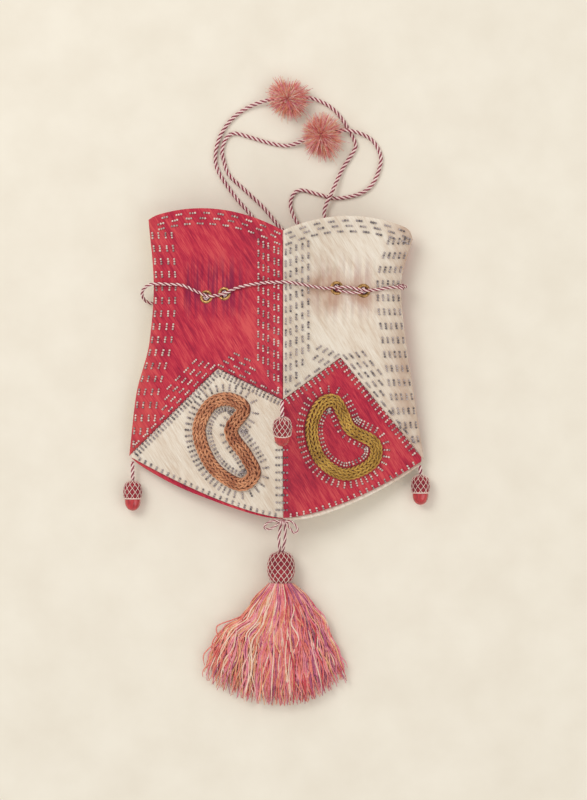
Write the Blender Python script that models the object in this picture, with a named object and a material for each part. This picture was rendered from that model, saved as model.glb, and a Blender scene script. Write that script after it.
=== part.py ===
"""A four-sided drawstring pouch, lying on its back on a table with its mouth towards +Y.

Two red and two white cloth walls alternate round it. Each ends in a lozenge of the other colour, and
the four lozenges meet at the bottom point, where a tassel is tied on. An acorn pendant hangs from each
lower corner. A twisted cord runs round the waist over eight eyelets, and two pull cords, each with a
pompon, come up through the eyelets and out of the mouth.

The constants are in millimetres, seen from above: x across from the front seam, y up from the bottom
point towards the mouth, z up from the table. The objects are made in metres, with the origin on the
table under the middle of the pouch and its pendants.
"""

import math

import bmesh
import bpy
from mathutils import Matrix, Vector
from mathutils.bvhtree import BVHTree

MM = 0.001
ORIGIN_X = -3.8
ORIGIN_Y = 40.5

# Cloth
CLOTH = 1.5
GAP = 0.3
SEAM_GAP = 0.3
EDGE_GAP = 0.5

# Outline of the left half, seen from above
LEFT_CORNER_OUT = 100.6
LEFT_CORNER_UP = 40.0
LEFT_BELLY_OUT = 96.0
LEFT_FLANK_OUT = 87.2
LEFT_WAIST_OUT = 84.4
LEFT_RIM_OUT = 88.0
LEFT_RIM_UP = 195.5
LEFT_RIM_ARCH = 10.2
LEFT_RIM_ROUNDING = 1.2
LEFT_APEX_OUT = 42.4
LEFT_APEX_UP = 97.2
LEFT_BOTTOM_POWER = 1.4
LEFT_SHOULDER = 0.08
CORNER_BLUNT = 1.6
CORNER_SOFTNESS = 5.0

# Outline of the right half
RIGHT_CORNER_OUT = 92.0
RIGHT_CORNER_UP = 37.6
RIGHT_BELLY_OUT = 85.6
RIGHT_FLANK_OUT = 80.3
RIGHT_WAIST_OUT = 77.0
RIGHT_RIM_OUT = 86.0
RIGHT_RIM_UP = 186.5
RIGHT_RIM_ARCH = 10.0
RIGHT_RIM_ROUNDING = 5.0
RIGHT_APEX_OUT = 37.2
RIGHT_APEX_UP = 104.0
RIGHT_BOTTOM_POWER = 1.6
RIGHT_SHOULDER = 0.26

# Heights along the front seam
FRONT_CORNER_UP = 76.7
BELLY_UP = 80.0
FLANK_UP = 115.0
WAIST_UP = 150.0
FRONT_RIM_UP = 186.0
BACK_RIM_DROP = 4.0
BACK_HEM = 3.4
RIM_ROUNDING_SHARE = 0.08
BOTTOM_Z = 22.0
CORNER_Z = 7.0
WAIST_EDGE_Z = 12.0
RIM_EDGE_Z = 10.0
BELLY_LIFT = 54.0
WAIST_LIFT = 34.0
RIM_LIFT = 40.0
WAIST_FLOOR_GAP = 4.5
WAIST_FLOOR_SPREAD = 15.0
WAIST_FLOOR_BELOW = 4.5
ACORN_RECESS_Z = 12.8
ACORN_RECESS_HALF = 22.0
ACORN_RECESS_FADE = 13.0
ACORN_RECESS_START = 16.0
ACORN_RECESS_RAMP = 14.0
ACORN_RECESS_BEYOND = 3.0

# Gathers and eyelets
PLEAT_DEPTH = 1.8
PLEAT_REACH = 26.0
EYELET_OUTER_R = 4.5
EYELET_HOLE_R = 2.5
EYELET_BARREL_WALL = 0.55
EYELET_FLANGE = 0.6
EYELET_CLEARANCE = 0.45
EYELET_SIDES = 12
EYELET_EDGE_BEVEL = 0.3
LEFT_EYELETS = ((-49.4, WAIST_UP - 6.3), (-37.7, WAIST_UP - 4.4))
RIGHT_EYELETS = ((34.5, WAIST_UP - 0.7), (52.0, WAIST_UP - 2.3))

# Cords
CORD_D = 2.6
WAIST_CORD_D = 2.1
ACORN_CORD_D = 2.8
HANGER_D = 2.0
BOW_CORD_D = 1.4
BESIDE_CORD = 1.5
STRAND_TOP = 1.2
CORD_STEP = 7.4
WAIST_STEP = 5.2

# Bean-shaped rings of couched cord
BAND_WIDTH = 9.6
BAND_HEIGHT = 2.6
BAND_EDGE = 0.5
BAND_SECTIONS = 30
BAND_STRIPS = 4
LEFT_BEAN = ((-35.1, 77.4), (-24.7, 70.9), (-33.2, 56.6), (-23.4, 41.0), (-18.2, 29.3),
             (-28.0, 22.1), (-45.5, 33.8), (-54.3, 55.9), (-47.5, 72.8))
RIGHT_BEAN = ((32.5, 76.4), (38.0, 68.3), (43.6, 57.9), (59.2, 48.8), (57.2, 35.8),
              (39.7, 28.6), (23.4, 39.0), (17.6, 58.5), (23.4, 73.5))

# Acorn pendants
CAP_D = 12.4
CAP_LENGTH = 12.0
CAP_MOUTH_D = 11.4
SOCKET_DEPTH = 2.0
SOCKET_WALL = 0.9
NUT_D = 10.4
NUT_LENGTH = 7.6
LEFT_ACORN_CORD = 13.0
RIGHT_ACORN_CORD = 6.6
FRONT_ACORN_CORD = 10.4
ACORN_INSET = 2.2
ACORN_FLOOR_GAP = 0.1
FRONT_ACORN_X = -0.4
PENDANT_GAP = 1.7
FRONT_ACORN_DROP = 1.0
FRONT_ACORN_LIFT = 0.8
BACK_ACORN_DROP = 3.5
ACORN_SIDES = 12

# Tassel
HEAD_D = 18.2
HEAD_LENGTH = 21.4
HEAD_FOOT_D = 12.0
HEAD_START = -22.4
HEAD_X = -1.3
SKIRT_TOP_OUT = 7.8
SKIRT_LEFT_OUT = 51.0
SKIRT_RIGHT_OUT = 39.8
SKIRT_SIDE_LENGTH = 62.5
SKIRT_END_BOW = 15.5
SKIRT_END_HALF_THICK = 5.0
SKIRT_LOBES = 14
SKIRT_LOBE_DEPTH = 0.10
KNOT_R = 1.9
KNOT_GAP = 0.7

# Pompons
POM_R = 13.2
POM_HALF_HEIGHT = 8.0
POM_BORE_R = CORD_D / 2 + 2 * GAP
POM_RINGS = 8
POM_SIDES = 12

# Route of pull cord 1 beyond the mouth, from the left strand to the right strand
OUTER_LOOP = ((-21.1, 197.6, 3.3), (-31.7, 210.1, 1.5), (-42.3, 226.1, 1.4), (-44.3, 236.7, 1.4),
              (-41.6, 248.6, 1.4), (-34.3, 259.9, 1.4), (-23.7, 267.9, 1.8), (-10.5, 272.7, 5.4),
              (2.8, 273.7, 8.2), (16.1, 274.5, 5.4), (28.0, 270.5, 1.8), (36.0, 263.9, 1.4),
              (42.0, 255.3, 1.4), (47.3, 244.7, 1.4), (46.0, 239.3, 1.4), (38.6, 227.4, 1.9),
              (32.0, 212.8, 4.8), (27.3, 202.2, 3.9), (27.3, 193.8, 4.0))
OUTER_LOOP_POM = 8

# Route of pull cord 2 beyond the mouth, likewise
INNER_LOOP = ((-3.9, 191.6, 3.7), (-13.1, 202.9, 1.8), (-25.0, 214.1, 1.4), (-35.4, 224.1, 1.4),
              (-39.0, 234.0, 1.4), (-39.9, 240.6, 1.4), (-37.3, 248.0, 1.4), (-31.7, 251.3, 1.4),
              (-21.1, 248.6, 1.4), (-7.8, 244.7, 1.4), (2.8, 243.3, 1.9), (12.1, 246.0, 4.8),
              (24.7, 249.9, 8.2), (34.6, 252.3, 6.0), (43.6, 253.0, 4.7), (56.0, 248.6, 1.8),
              (62.5, 240.6, 1.4), (63.8, 231.4, 1.4), (58.5, 218.1, 1.4), (49.3, 211.4, 1.4),
              (34.6, 208.8, 1.4), (22.8, 211.4, 1.4), (12.1, 214.1, 1.4), (6.8, 211.4, 1.4),
              (4.8, 204.8, 1.7), (6.8, 197.0, 3.0), (10.8, 189.6, 3.8))
INNER_LOOP_POM = 12

# Route of each strand inside the pouch, from just under its eyelet to the mouth: x, the share of the
# way from the waist to the rim, and z
OUTER_LEFT_INSIDE = ((-45.2, -0.13, 11.8), (-40.4, 0.02, 8.9), (-32.0, 0.24, 7.0), (-22.0, 0.47, 4.3),
                     (-14.6, 0.72, 3.9), (-13.8, 1.0, 3.9))
INNER_LEFT_INSIDE = ((-33.6, -0.07, 14.2), (-28.0, 0.07, 10.0), (-17.0, 0.25, 6.9), (-4.0, 0.49, 4.2),
                     (3.6, 0.72, 3.9), (2.8, 0.94, 3.9))
INNER_RIGHT_INSIDE = ((31.4, 0.04, 15.5), (27.6, 0.22, 8.6), (20.0, 0.51, 4.4), (15.0, 0.78, 3.9))
OUTER_RIGHT_INSIDE = ((47.8, 0.02, 12.6), (43.6, 0.2, 8.3), (36.0, 0.53, 4.6), (29.0, 0.9, 3.9))

# Route of the waist cord: over the front from left to right, then under the back to the left again.
# The second number is y measured from the waist.
WAIST_FRONT = ((-74.0, 2.0), (-66.0, 1.5), (-57.0, -2.4), (-49.4, -5.6), (-43.5, -5.4),
               (-37.7, -4.1), (-30.0, -0.6), (-20.0, 1.6), (-10.0, 2.6), (-4.0, 2.8), (0.0, 2.8),
               (4.0, 2.6), (10.0, 1.8), (20.0, 0.0), (28.0, -0.9), (34.5, -0.4), (43.0, -0.2),
               (52.0, -2.0), (60.0, -1.7), (68.0, -0.4))
WAIST_RIGHT_TURN = ((76.5, 0.4, 19.6), (80.0, 0.8, 14.0), (78.8, 0.6, 5.6), (71.0, -0.4, 1.4))
WAIST_BACK = ((52.0, -2.2), (34.5, -1.4), (16.0, 0.0), (0.0, 1.0), (-18.0, -1.0), (-37.7, -4.2),
              (-49.4, -6.0), (-66.0, -9.2))
WAIST_BACK_Z = 1.3
WAIST_CORD_LIFT = 0.5
WAIST_LEFT_TURN = ((-80.0, -10.4, 1.8), (-88.0, -9.6, 4.4), (-91.8, -6.0, 8.6), (-91.4, -1.4, 12.6),
                   (-87.0, 1.8, 16.2), (-81.0, 2.4, 18.4))


def clamp(value, low=0.0, high=1.0):
    return max(low, min(high, value))


def smoothstep(low, high, value):
    t = clamp((value - low) / (high - low))
    return t * t * (3 - 2 * t)


def curve_through(stations):
    """A smooth function of one variable through (place, value) pairs, flat where the values turn."""
    at = [s[0] for s in stations]
    value = [s[1] for s in stations]
    chord = [(value[i + 1] - value[i]) / (at[i + 1] - at[i]) for i in range(len(at) - 1)]
    slope = [chord[0]]
    for before, after in zip(chord, chord[1:]):
        slope.append(0.0 if before * after <= 0 else 2 * before * after / (before + after))
    slope.append(chord[-1])

    def found(x):
        x = clamp(x, at[0], at[-1])
        i = max(k for k in range(len(at) - 1) if at[k] <= x)
        width = at[i + 1] - at[i]
        t = (x - at[i]) / width
        rise = value[i + 1] - value[i]
        a = slope[i] * width - rise
        b = rise - slope[i + 1] * width
        return value[i] + t * rise + t * (1 - t) * ((1 - t) * a + t * b)

    return found


class Half:
    """One half of the pouch, seen from above: sign is -1 on the left and 1 on the right."""

    def __init__(self, sign, corner, sides, rim, arch, rounding, apex, power, shoulder):
        self.sign = sign
        self.corner_out, self.corner_up = corner
        self.rim_out, self.rim_up = rim
        self.arch = arch
        self.rounding = rounding
        self.apex_out, self.apex_up = apex
        self.power = power
        self.shoulder = shoulder
        belly_out, flank_out, waist_out = sides
        self.side = curve_through(
            ((self.corner_up, self.corner_out), (BELLY_UP, belly_out), (FLANK_UP, flank_out),
             (WAIST_UP, waist_out), (self.rim_up, self.rim_out))
        )

    def bottom_edge(self, out, hem=0.0):
        """y of the pouch's lower edge at a distance from the seam, and hem below it for a longer piece."""
        share = clamp(out / self.corner_out)
        return self.corner_up * share**self.power - hem * math.sin(math.pi * share)

    def width(self, y):
        """Distance from the front seam to the outline at y."""
        if y >= self.corner_up:
            return self.side(y)
        return self.corner_out * clamp(y / self.corner_up) ** (1 / self.power)

    def soft_width(self, y):
        """The outline's distance with its corner rounded, which the height of the cloth goes by."""
        low = self.corner_out * clamp(y / self.corner_up, 0.0, 1.6) ** (1 / self.power)
        high = self.side(y)
        softness = CORNER_SOFTNESS * clamp(y / self.corner_up)
        mean = (low + high) / 2
        return max(mean - math.sqrt(((low - high) / 2) ** 2 + softness**2), 0.2)

    def seam(self, out):
        """y of the seam between wall and lozenge at a distance from the front seam."""
        if out <= self.apex_out:
            share = out / self.apex_out
            return FRONT_CORNER_UP + (self.apex_up - FRONT_CORNER_UP) * share
        share = (out - self.apex_out) / (self.corner_out - self.apex_out)
        return self.apex_up + (self.corner_up - self.apex_up) * share

    def seam_at_share(self, share):
        """y of that seam where the distance is a share of the outline's."""
        y = self.apex_up
        for _ in range(40):
            y = 0.5 * y + 0.5 * self.seam(min(share * self.width(y), self.corner_out))
        return max(y, self.corner_up)

    def rim(self, share, drop=0.0):
        """y of the wall's arched top edge at a share of the way from the front seam to the side."""
        y = FRONT_RIM_UP + (self.rim_up - FRONT_RIM_UP) * share
        turned_down = self.rounding * clamp((share - 1) / RIM_ROUNDING_SHARE + 1) ** 2
        return y + 4 * self.arch * share * (1 - share) - turned_down - drop


LEFT = Half(-1, (LEFT_CORNER_OUT, LEFT_CORNER_UP), (LEFT_BELLY_OUT, LEFT_FLANK_OUT, LEFT_WAIST_OUT),
            (LEFT_RIM_OUT, LEFT_RIM_UP), LEFT_RIM_ARCH, LEFT_RIM_ROUNDING,
            (LEFT_APEX_OUT, LEFT_APEX_UP), LEFT_BOTTOM_POWER, LEFT_SHOULDER)
RIGHT = Half(1, (RIGHT_CORNER_OUT, RIGHT_CORNER_UP), (RIGHT_BELLY_OUT, RIGHT_FLANK_OUT, RIGHT_WAIST_OUT),
             (RIGHT_RIM_OUT, RIGHT_RIM_UP), RIGHT_RIM_ARCH, RIGHT_RIM_ROUNDING,
             (RIGHT_APEX_OUT, RIGHT_APEX_UP), RIGHT_BOTTOM_POWER, RIGHT_SHOULDER)

CORNERS_UP = (LEFT_CORNER_UP + RIGHT_CORNER_UP) / 2
edge_height = curve_through(
    ((0.0, BOTTOM_Z), (CORNERS_UP * 0.35, BOTTOM_Z * 0.68), (CORNERS_UP, CORNER_Z), (BELLY_UP, CORNER_Z + 1),
     (WAIST_UP, WAIST_EDGE_Z), (FRONT_RIM_UP, RIM_EDGE_Z))
)
ridge_lift = curve_through(
    ((0.0, 0.0), (BELLY_UP * 0.12, BELLY_LIFT * 0.24), (BELLY_UP * 0.5, BELLY_LIFT * 0.74),
     (BELLY_UP, BELLY_LIFT), (BELLY_UP * 1.3, BELLY_LIFT * 0.98), (WAIST_UP, WAIST_LIFT),
     (FRONT_RIM_UP, RIM_LIFT))
)


def half_at(x):
    return LEFT if x < 0 else RIGHT


def share_from_edge(half, x, y):
    """0 on the outline and 1 on the front seam."""
    return clamp(1 - abs(x) / half.soft_width(y))


def lining(half, x, y):
    """z of the inner face of the front cloth, without its gathers."""
    u = share_from_edge(half, x, y)
    shoulder = half.shoulder * smoothstep(CORNERS_UP * 0.5, BELLY_UP, y)
    rise = shoulder * (1 - math.exp(-u / 0.07)) + (0.5 - shoulder) * u + 0.5 * u**3
    return edge_height(y) + EDGE_GAP / 2 + ridge_lift(y) * rise


def eyelet_plane(half):
    """The flat patch that holds a half's two front eyelets: its middle, its z there and its slopes."""
    pair = LEFT_EYELETS if half is LEFT else RIGHT_EYELETS
    x, y = ((pair[0][k] + pair[1][k]) / 2 for k in (0, 1))
    step = 5.0
    across = (lining(half, x + step, y) - lining(half, x - step, y)) / (2 * step)
    along = (lining(half, x, y + step) - lining(half, x, y - step)) / (2 * step)
    return x, y, lining(half, x, y), across, along


PLANES = {-1: eyelet_plane(LEFT), 1: eyelet_plane(RIGHT)}
FLAT_REACH = 9.0
FLAT_FADE = 15.0


def nearest_eyelet(x, y):
    return min(math.dist((x, y), e) for e in LEFT_EYELETS + RIGHT_EYELETS)


def front_inner(half, x, y, fold=0.0):
    """z of the inner face of the front cloth. fold is 1 in the valley of a gather and 0 on its crest."""
    z = lining(half, x, y)
    near = nearest_eyelet(x, y)
    flat = 1 - smoothstep(FLAT_REACH, FLAT_FADE, near)
    px, py, pz, across, along = PLANES[half.sign]
    z += flat * (pz + across * (x - px) + along * (y - py) - z)
    middle = abs(x) / half.soft_width(y) - 0.55
    beside = 1 - smoothstep(0.16, 0.36, abs(middle))
    above = 1 - smoothstep(PLEAT_REACH * 0.4, PLEAT_REACH, abs(y - WAIST_UP))
    return z - fold * (1 - flat) * PLEAT_DEPTH * beside * above


def back_outer(half, x, y):
    """z of the outer face of the back cloth, which lies on the table."""
    waist = WAIST_FLOOR_GAP * math.exp(-(((y - WAIST_UP + WAIST_FLOOR_BELOW) / WAIST_FLOOR_SPREAD) ** 6))
    lower = BOTTOM_Z * clamp(1 - y / (BELLY_UP + 4)) ** 2.5
    edge = edge_height(y) - EDGE_GAP / 2 - CLOTH
    across = 1 - smoothstep(ACORN_RECESS_HALF, ACORN_RECESS_HALF + ACORN_RECESS_FADE, abs(x))
    end = FRONT_CORNER_UP + ACORN_RECESS_BEYOND
    along = smoothstep(ACORN_RECESS_START, ACORN_RECESS_START + ACORN_RECESS_RAMP, y)
    along *= 1 - smoothstep(end, end + ACORN_RECESS_RAMP, y)
    floor = max(waist, min(lower, edge))
    floor += max(ACORN_RECESS_Z - floor, 0.0) * across * along
    u = share_from_edge(half, x, y)
    return floor + max(edge - floor, 0.0) * (1 - smoothstep(0.0, 0.22, u))


def stood_thickness(surface, x, y):
    """The cloth's thickness measured upright, where its face slopes."""
    step = 0.5
    across = (surface(x + step, y) - surface(x - step, y)) / (2 * step)
    along = (surface(x, y + step) - surface(x, y - step)) / (2 * step)
    return CLOTH * min(math.sqrt(1 + across**2 + along**2), 1.9)


def place(x, y, z):
    """A point of the pouch, in metres and in the part's frame."""
    return Vector(((x - ORIGIN_X) * MM, (y - ORIGIN_Y) * MM, z * MM))


def material(name, colour, roughness, metallic=0.0):
    made = bpy.data.materials.new(name)
    made.use_nodes = True
    shader = made.node_tree.nodes["Principled BSDF"]
    shader.inputs["Base Color"].default_value = (*colour, 1.0)
    shader.inputs["Roughness"].default_value = roughness
    shader.inputs["Metallic"].default_value = metallic
    return made


def add(name, mesh, finish, smooth=True):
    obj = bpy.data.objects.new(name, mesh)
    bpy.context.scene.collection.objects.link(obj)
    mesh.materials.append(finish)
    if smooth:
        mesh.shade_smooth()
        mesh.set_sharp_from_angle(angle=math.radians(40))
    return obj


def mesh_from(name, points, faces):
    mesh = bpy.data.meshes.new(name)
    mesh.from_pydata(points, [], faces)
    tidy = bmesh.new()
    tidy.from_mesh(mesh)
    bmesh.ops.remove_doubles(tidy, verts=tidy.verts, dist=1e-7)
    bmesh.ops.recalc_face_normals(tidy, faces=tidy.faces)
    tidy.to_mesh(mesh)
    tidy.free()
    return mesh


def sheet(name, grid, finish):
    """A closed sheet of cloth. grid holds rows of (x, y, lower z, upper z)."""
    rows, columns = len(grid), len(grid[0])
    points = [place(x, y, low) for row in grid for x, y, low, _ in row]
    points += [place(x, y, high) for row in grid for x, y, _, high in row]
    upper = rows * columns
    faces = []
    for i in range(rows - 1):
        for j in range(columns - 1):
            a = i * columns + j
            quad = (a, a + 1, a + columns + 1, a + columns)
            faces.append(quad[::-1])
            faces.append(tuple(k + upper for k in quad))
    border = [j for j in range(columns)]
    border += [i * columns + columns - 1 for i in range(1, rows)]
    border += [(rows - 1) * columns + j for j in range(columns - 2, -1, -1)]
    border += [i * columns for i in range(rows - 2, 0, -1)]
    for a, b in zip(border, border[1:] + border[:1]):
        faces.append((a, b, b + upper, a + upper))
    return add(name, mesh_from(name, points, faces), finish)


def divided(marks, counts):
    """Marks with a count of equal steps between each two."""
    found = [marks[0]]
    for low, high, count in zip(marks, marks[1:], counts):
        found += [low + (high - low) * (k + 1) / count for k in range(count)]
    return found


def levels(below, beside, above):
    """Heights of rows of faces: shares of the way from belly to waist, shares of the raised floor's
    spread on both sides of its middle, and shares of the way from waist to rim."""
    middle = WAIST_UP - WAIST_FLOOR_BELOW
    found = [BELLY_UP + (WAIST_UP - BELLY_UP) * share for share in below]
    found += [middle + WAIST_FLOOR_SPREAD * share for share in beside]
    return found + [WAIST_UP + (FRONT_RIM_UP - WAIST_UP) * share for share in above]


WALL_LEVELS = levels((0.46, 0.59, 0.71), (-0.57, -0.1, 0.37), (0.22, 0.47, 0.72))
BACK_LEVELS = levels((0.46, 0.67), (-0.6, 0.6), (0.42, 0.72))


def wall(name, half, front, finish):
    """One side of the pouch, from its arched rim down to the notch that the lozenge fills."""
    apex_share = half.apex_out / half.width(half.apex_up)
    counts = (8, 12) if front else (4, 6)
    rows = WALL_LEVELS if front else BACK_LEVELS
    lower_rows = 4 if front else 3
    shares = divided((0.0, apex_share, 1.0), counts)
    grid = []
    columns = []
    for index, share in enumerate(shares):
        low = half.seam_at_share(share) + SEAM_GAP * 0.75
        high = half.rim(share, 0.0 if front else BACK_RIM_DROP)
        ys = divided((low, rows[0]), (lower_rows,)) + list(rows[1:])
        ys += divided((rows[-1], high), (2,))[1:]
        column = []
        for y in ys:
            x = half.sign * max(share * half.width(y), SEAM_GAP / 2)
            column.append(cloth_point(half, x, y, front, index % 2))
        columns.append(column)
    for i in range(len(columns[0])):
        grid.append([column[i] for column in columns])
    return sheet(name, grid, finish)


def cloth_point(half, x, y, front, fold=0.0):
    """(x, y, lower z, upper z) of the cloth at a place."""
    if front:
        low = front_inner(half, x, y, fold)
        return x, y, low, low + stood_thickness(lambda a, b: front_inner(half, a, b), x, y)
    low = back_outer(half, x, y)
    return x, y, low, low + CLOTH


def lozenge(name, half, front, finish):
    """The piece between the wall's notch and the pouch's lower edge."""
    tip = half.corner_out - CORNER_BLUNT
    counts = (6, 7) if front else (6, 5)
    rows = 7 if front else 6
    outs = divided((SEAM_GAP / 2, half.apex_out, tip), counts)
    columns = []
    for out in outs:
        low = half.bottom_edge(out, 0.0 if front else BACK_HEM)
        high = half.seam(out) - SEAM_GAP * 0.75
        ys = [low + (high - low) * k / rows for k in range(rows + 1)]
        columns.append([cloth_point(half, half.sign * out, y, front) for y in ys])
    grid = [[column[i] for column in columns] for i in range(rows + 1)]
    return sheet(name, grid, finish)


def turned(name, profile, sides, start, axis, finish):
    """A turned solid. profile holds (distance along the axis, radius) from one end to the other."""
    turn = axis.normalized().to_track_quat("Z", "Y").to_matrix()
    points, faces, rings = [], [], []
    for along, radius in profile:
        if radius < 1e-6:
            rings.append([len(points)])
            points.append(start + turn @ Vector((0, 0, along)) * MM)
            continue
        ring = []
        for k in range(sides):
            angle = 2 * math.pi * k / sides
            ring.append(len(points))
            spot = Vector((radius * math.cos(angle), radius * math.sin(angle), along))
            points.append(start + turn @ spot * MM)
        rings.append(ring)
    for near, far in zip(rings, rings[1:]):
        for k in range(sides):
            a, b = near[k % len(near)], near[(k + 1) % len(near)]
            c, d = far[(k + 1) % len(far)], far[k % len(far)]
            faces.append([v for i, v in enumerate((a, b, c, d)) if v not in (a, b, c, d)[:i]])
    return add(name, mesh_from(name, points, faces), finish)


def tube(name, line, diameter, finish, closed=False):
    """A cord of round section along a line of points in the part's frame."""
    curve = bpy.data.curves.new(name, "CURVE")
    curve.dimensions = "3D"
    curve.bevel_depth = diameter / 2 * MM
    curve.bevel_resolution = 2
    curve.use_fill_caps = not closed
    spline = curve.splines.new("POLY")
    spline.points.add(len(line) - 1)
    for point, spot in zip(spline.points, line):
        point.co = (*spot, 1.0)
    spline.use_cyclic_u = closed
    curve.materials.append(finish)
    obj = bpy.data.objects.new(name, curve)
    bpy.context.scene.collection.objects.link(obj)
    return obj


def smooth_line(points, step, closed=False):
    """Points about step apart on a smooth curve through the given ones."""
    count = len(points)
    fine = []
    spans = count if closed else count - 1
    for i in range(spans):
        if closed:
            a, b, c, d = (points[(i + k) % count] for k in (-1, 0, 1, 2))
        else:
            b, c = points[i], points[i + 1]
            a = points[i - 1] if i else b * 2 - c
            d = points[i + 2] if i + 2 < count else c * 2 - b
        for k in range(16):
            t = k / 16
            square = 2 * a - 5 * b + 4 * c - d
            cube = 3 * b - a - 3 * c + d
            fine.append(0.5 * (2 * b + (c - a) * t + square * t**2 + cube * t**3))
    fine.append(points[0].copy() if closed else points[-1].copy())
    along = [0.0]
    for p, q in zip(fine, fine[1:]):
        along.append(along[-1] + (q - p).length)
    number = max(2, round(along[-1] / (step * MM)))
    line, i = [], 0
    for k in range(number + 1):
        target = along[-1] * k / number
        while i < len(fine) - 2 and along[i + 1] < target:
            i += 1
        span = max(along[i + 1] - along[i], 1e-12)
        line.append(fine[i].lerp(fine[i + 1], (target - along[i]) / span))
    return line[:-1] if closed else line


LOOK_FROM_Z = 200.0


class Surface:
    """What lies under a place, looked for from above over a set of finished objects."""

    def __init__(self, objects):
        view = bpy.context.evaluated_depsgraph_get()
        self.trees = [BVHTree.FromObject(o, view) for o in objects]

    def top(self, x, y, miss=0.0):
        start = place(x, y, LOOK_FROM_Z)
        found = [tree.ray_cast(start, Vector((0, 0, -1)))[0] for tree in self.trees]
        return max([f.z / MM for f in found if f is not None], default=miss)

    def rest(self, x, y, radius):
        """z of the middle of a cord of that radius lying there."""
        reach = (-radius, 0.0, radius)
        wide = radius + BESIDE_CORD
        tops = [self.top(x + dx, y + dy) for dx in (-wide, *reach, wide) for dy in reach]
        return max(tops) + radius + GAP

    def lay_down(self, x, top_y, profile, gap):
        """Top and axis of a turned piece that lies on the cloth and points down the pouch."""
        long = profile[-1][0]
        high, low = (self.top(x, top_y - long * share) for share in (0.2, 0.9))
        slope = (high - low) / (long * 0.7)
        lean = math.hypot(1, slope)
        needs = []
        for along, radius in profile:
            down = along / lean
            for share in (-0.7, 0.0, 0.7):
                under = math.sqrt(1 - share**2) * radius * lean
                needs.append(self.top(x + share * radius, top_y - down) + slope * down + under)
        return place(x, top_y, max(needs) + gap), Vector((0, -1, -slope))


def eyelet_profile():
    """(distance along the axis, radius) round a flanged eyelet, from the middle of the cloth."""
    inside = CLOTH / 2 + EYELET_CLEARANCE
    outside = inside + EYELET_FLANGE
    barrel = EYELET_HOLE_R + EYELET_BARREL_WALL
    edge = EYELET_OUTER_R - EYELET_EDGE_BEVEL
    return (
        (-outside, EYELET_HOLE_R), (-outside, edge), (-inside, EYELET_OUTER_R), (-inside, barrel),
        (inside, barrel), (inside, EYELET_OUTER_R), (outside, edge), (outside, EYELET_HOLE_R),
    )


def ring(name, profile, sides, start, axis, finish):
    """A turned ring with a hole: the profile closes on itself."""
    turn = axis.normalized().to_track_quat("Z", "Y").to_matrix()
    points, faces = [], []
    for k in range(sides):
        angle = 2 * math.pi * k / sides
        for along, radius in profile:
            spot = Vector((radius * math.cos(angle), radius * math.sin(angle), along))
            points.append(start + turn @ spot * MM)
    count = len(profile)
    for k in range(sides):
        for i in range(count):
            a, b = k * count + i, k * count + (i + 1) % count
            c, d = ((k + 1) % sides) * count + (i + 1) % count, ((k + 1) % sides) * count + i
            faces.append((a, b, c, d))
    return add(name, mesh_from(name, points, faces), finish)


def eyelet(name, cloth, middle, axis, finish):
    """Cuts the eyelet's hole in the cloth and sets the eyelet in it."""
    barrel = EYELET_HOLE_R + EYELET_BARREL_WALL + GAP
    reach = CLOTH * 4
    cylinder = ((-reach, 0.0), (-reach, barrel), (reach, barrel), (reach, 0.0))
    cutter = turned(f"cut_{name}", cylinder, EYELET_SIDES, middle, axis, finish)
    cutter.hide_render = True
    cutter.display_type = "WIRE"
    cut = cloth.modifiers.new(f"hole_{name}", "BOOLEAN")
    cut.operation = "DIFFERENCE"
    cut.object = cutter
    return ring(name, eyelet_profile(), EYELET_SIDES, middle, axis, finish)


def front_eyelets(walls, finish):
    made = []
    pairs = ((LEFT, LEFT_EYELETS, walls["left"]), (RIGHT, RIGHT_EYELETS, walls["right"]))
    for half, spots, cloth in pairs:
        px, py, pz, across, along = PLANES[half.sign]
        normal = Vector((-across, -along, 1)).normalized()
        for x, y in spots:
            z = pz + across * (x - px) + along * (y - py)
            middle = place(x, y, z) + normal * (CLOTH / 2 * MM)
            made.append(eyelet(f"eyelet_front_{len(made) + 1}", cloth, middle, normal, finish))
    return made


def back_eyelets(walls, finish):
    made = []
    pairs = ((LEFT_EYELETS, walls["back_left"]), (RIGHT_EYELETS, walls["back_right"]))
    for spots, cloth in pairs:
        for x, y in spots:
            middle = place(x, y, back_outer(half_at(x), x, y) + CLOTH / 2)
            name = f"eyelet_back_{len(made) + 1}"
            made.append(eyelet(name, cloth, middle, Vector((0, 0, 1)), finish))
    return made


def bean(name, outline, surface, finish):
    """A flat-bottomed band of couched cord, laid on the lozenge along a closed bean outline."""
    line = smooth_line([place(x, y, 0) for x, y in outline], 1.0, closed=True)
    line = [line[round(k * len(line) / BAND_SECTIONS) % len(line)] for k in range(BAND_SECTIONS)]
    points, faces = [], []
    for k, middle in enumerate(line):
        along = (line[(k + 1) % BAND_SECTIONS] - line[k - 1]).normalized()
        across = Vector((along.y, -along.x, 0))
        for side in (0, 1):
            for j in range(BAND_STRIPS + 1):
                place_in_band = j / BAND_STRIPS * 2 - 1
                spot = middle + across * (place_in_band * BAND_WIDTH / 2 * MM)
                x, y = spot.x / MM + ORIGIN_X, spot.y / MM + ORIGIN_Y
                crown = BAND_EDGE + (BAND_HEIGHT - BAND_EDGE) * math.sqrt(1 - place_in_band**2)
                spot.z = (surface.top(x, y) + GAP + 0.1 + side * crown) * MM
                points.append(spot)
    width = BAND_STRIPS + 1
    for k in range(BAND_SECTIONS):
        here, there = k * 2 * width, (k + 1) % BAND_SECTIONS * 2 * width
        for j in range(BAND_STRIPS):
            faces.append((here + j, here + j + 1, there + j + 1, there + j))
            faces.append((here + width + j, there + width + j, there + width + j + 1, here + width + j + 1))
        for j in (0, BAND_STRIPS):
            faces.append((here + j, there + j, there + width + j, here + width + j))
    return add(name, mesh_from(name, points, faces), finish)


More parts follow.
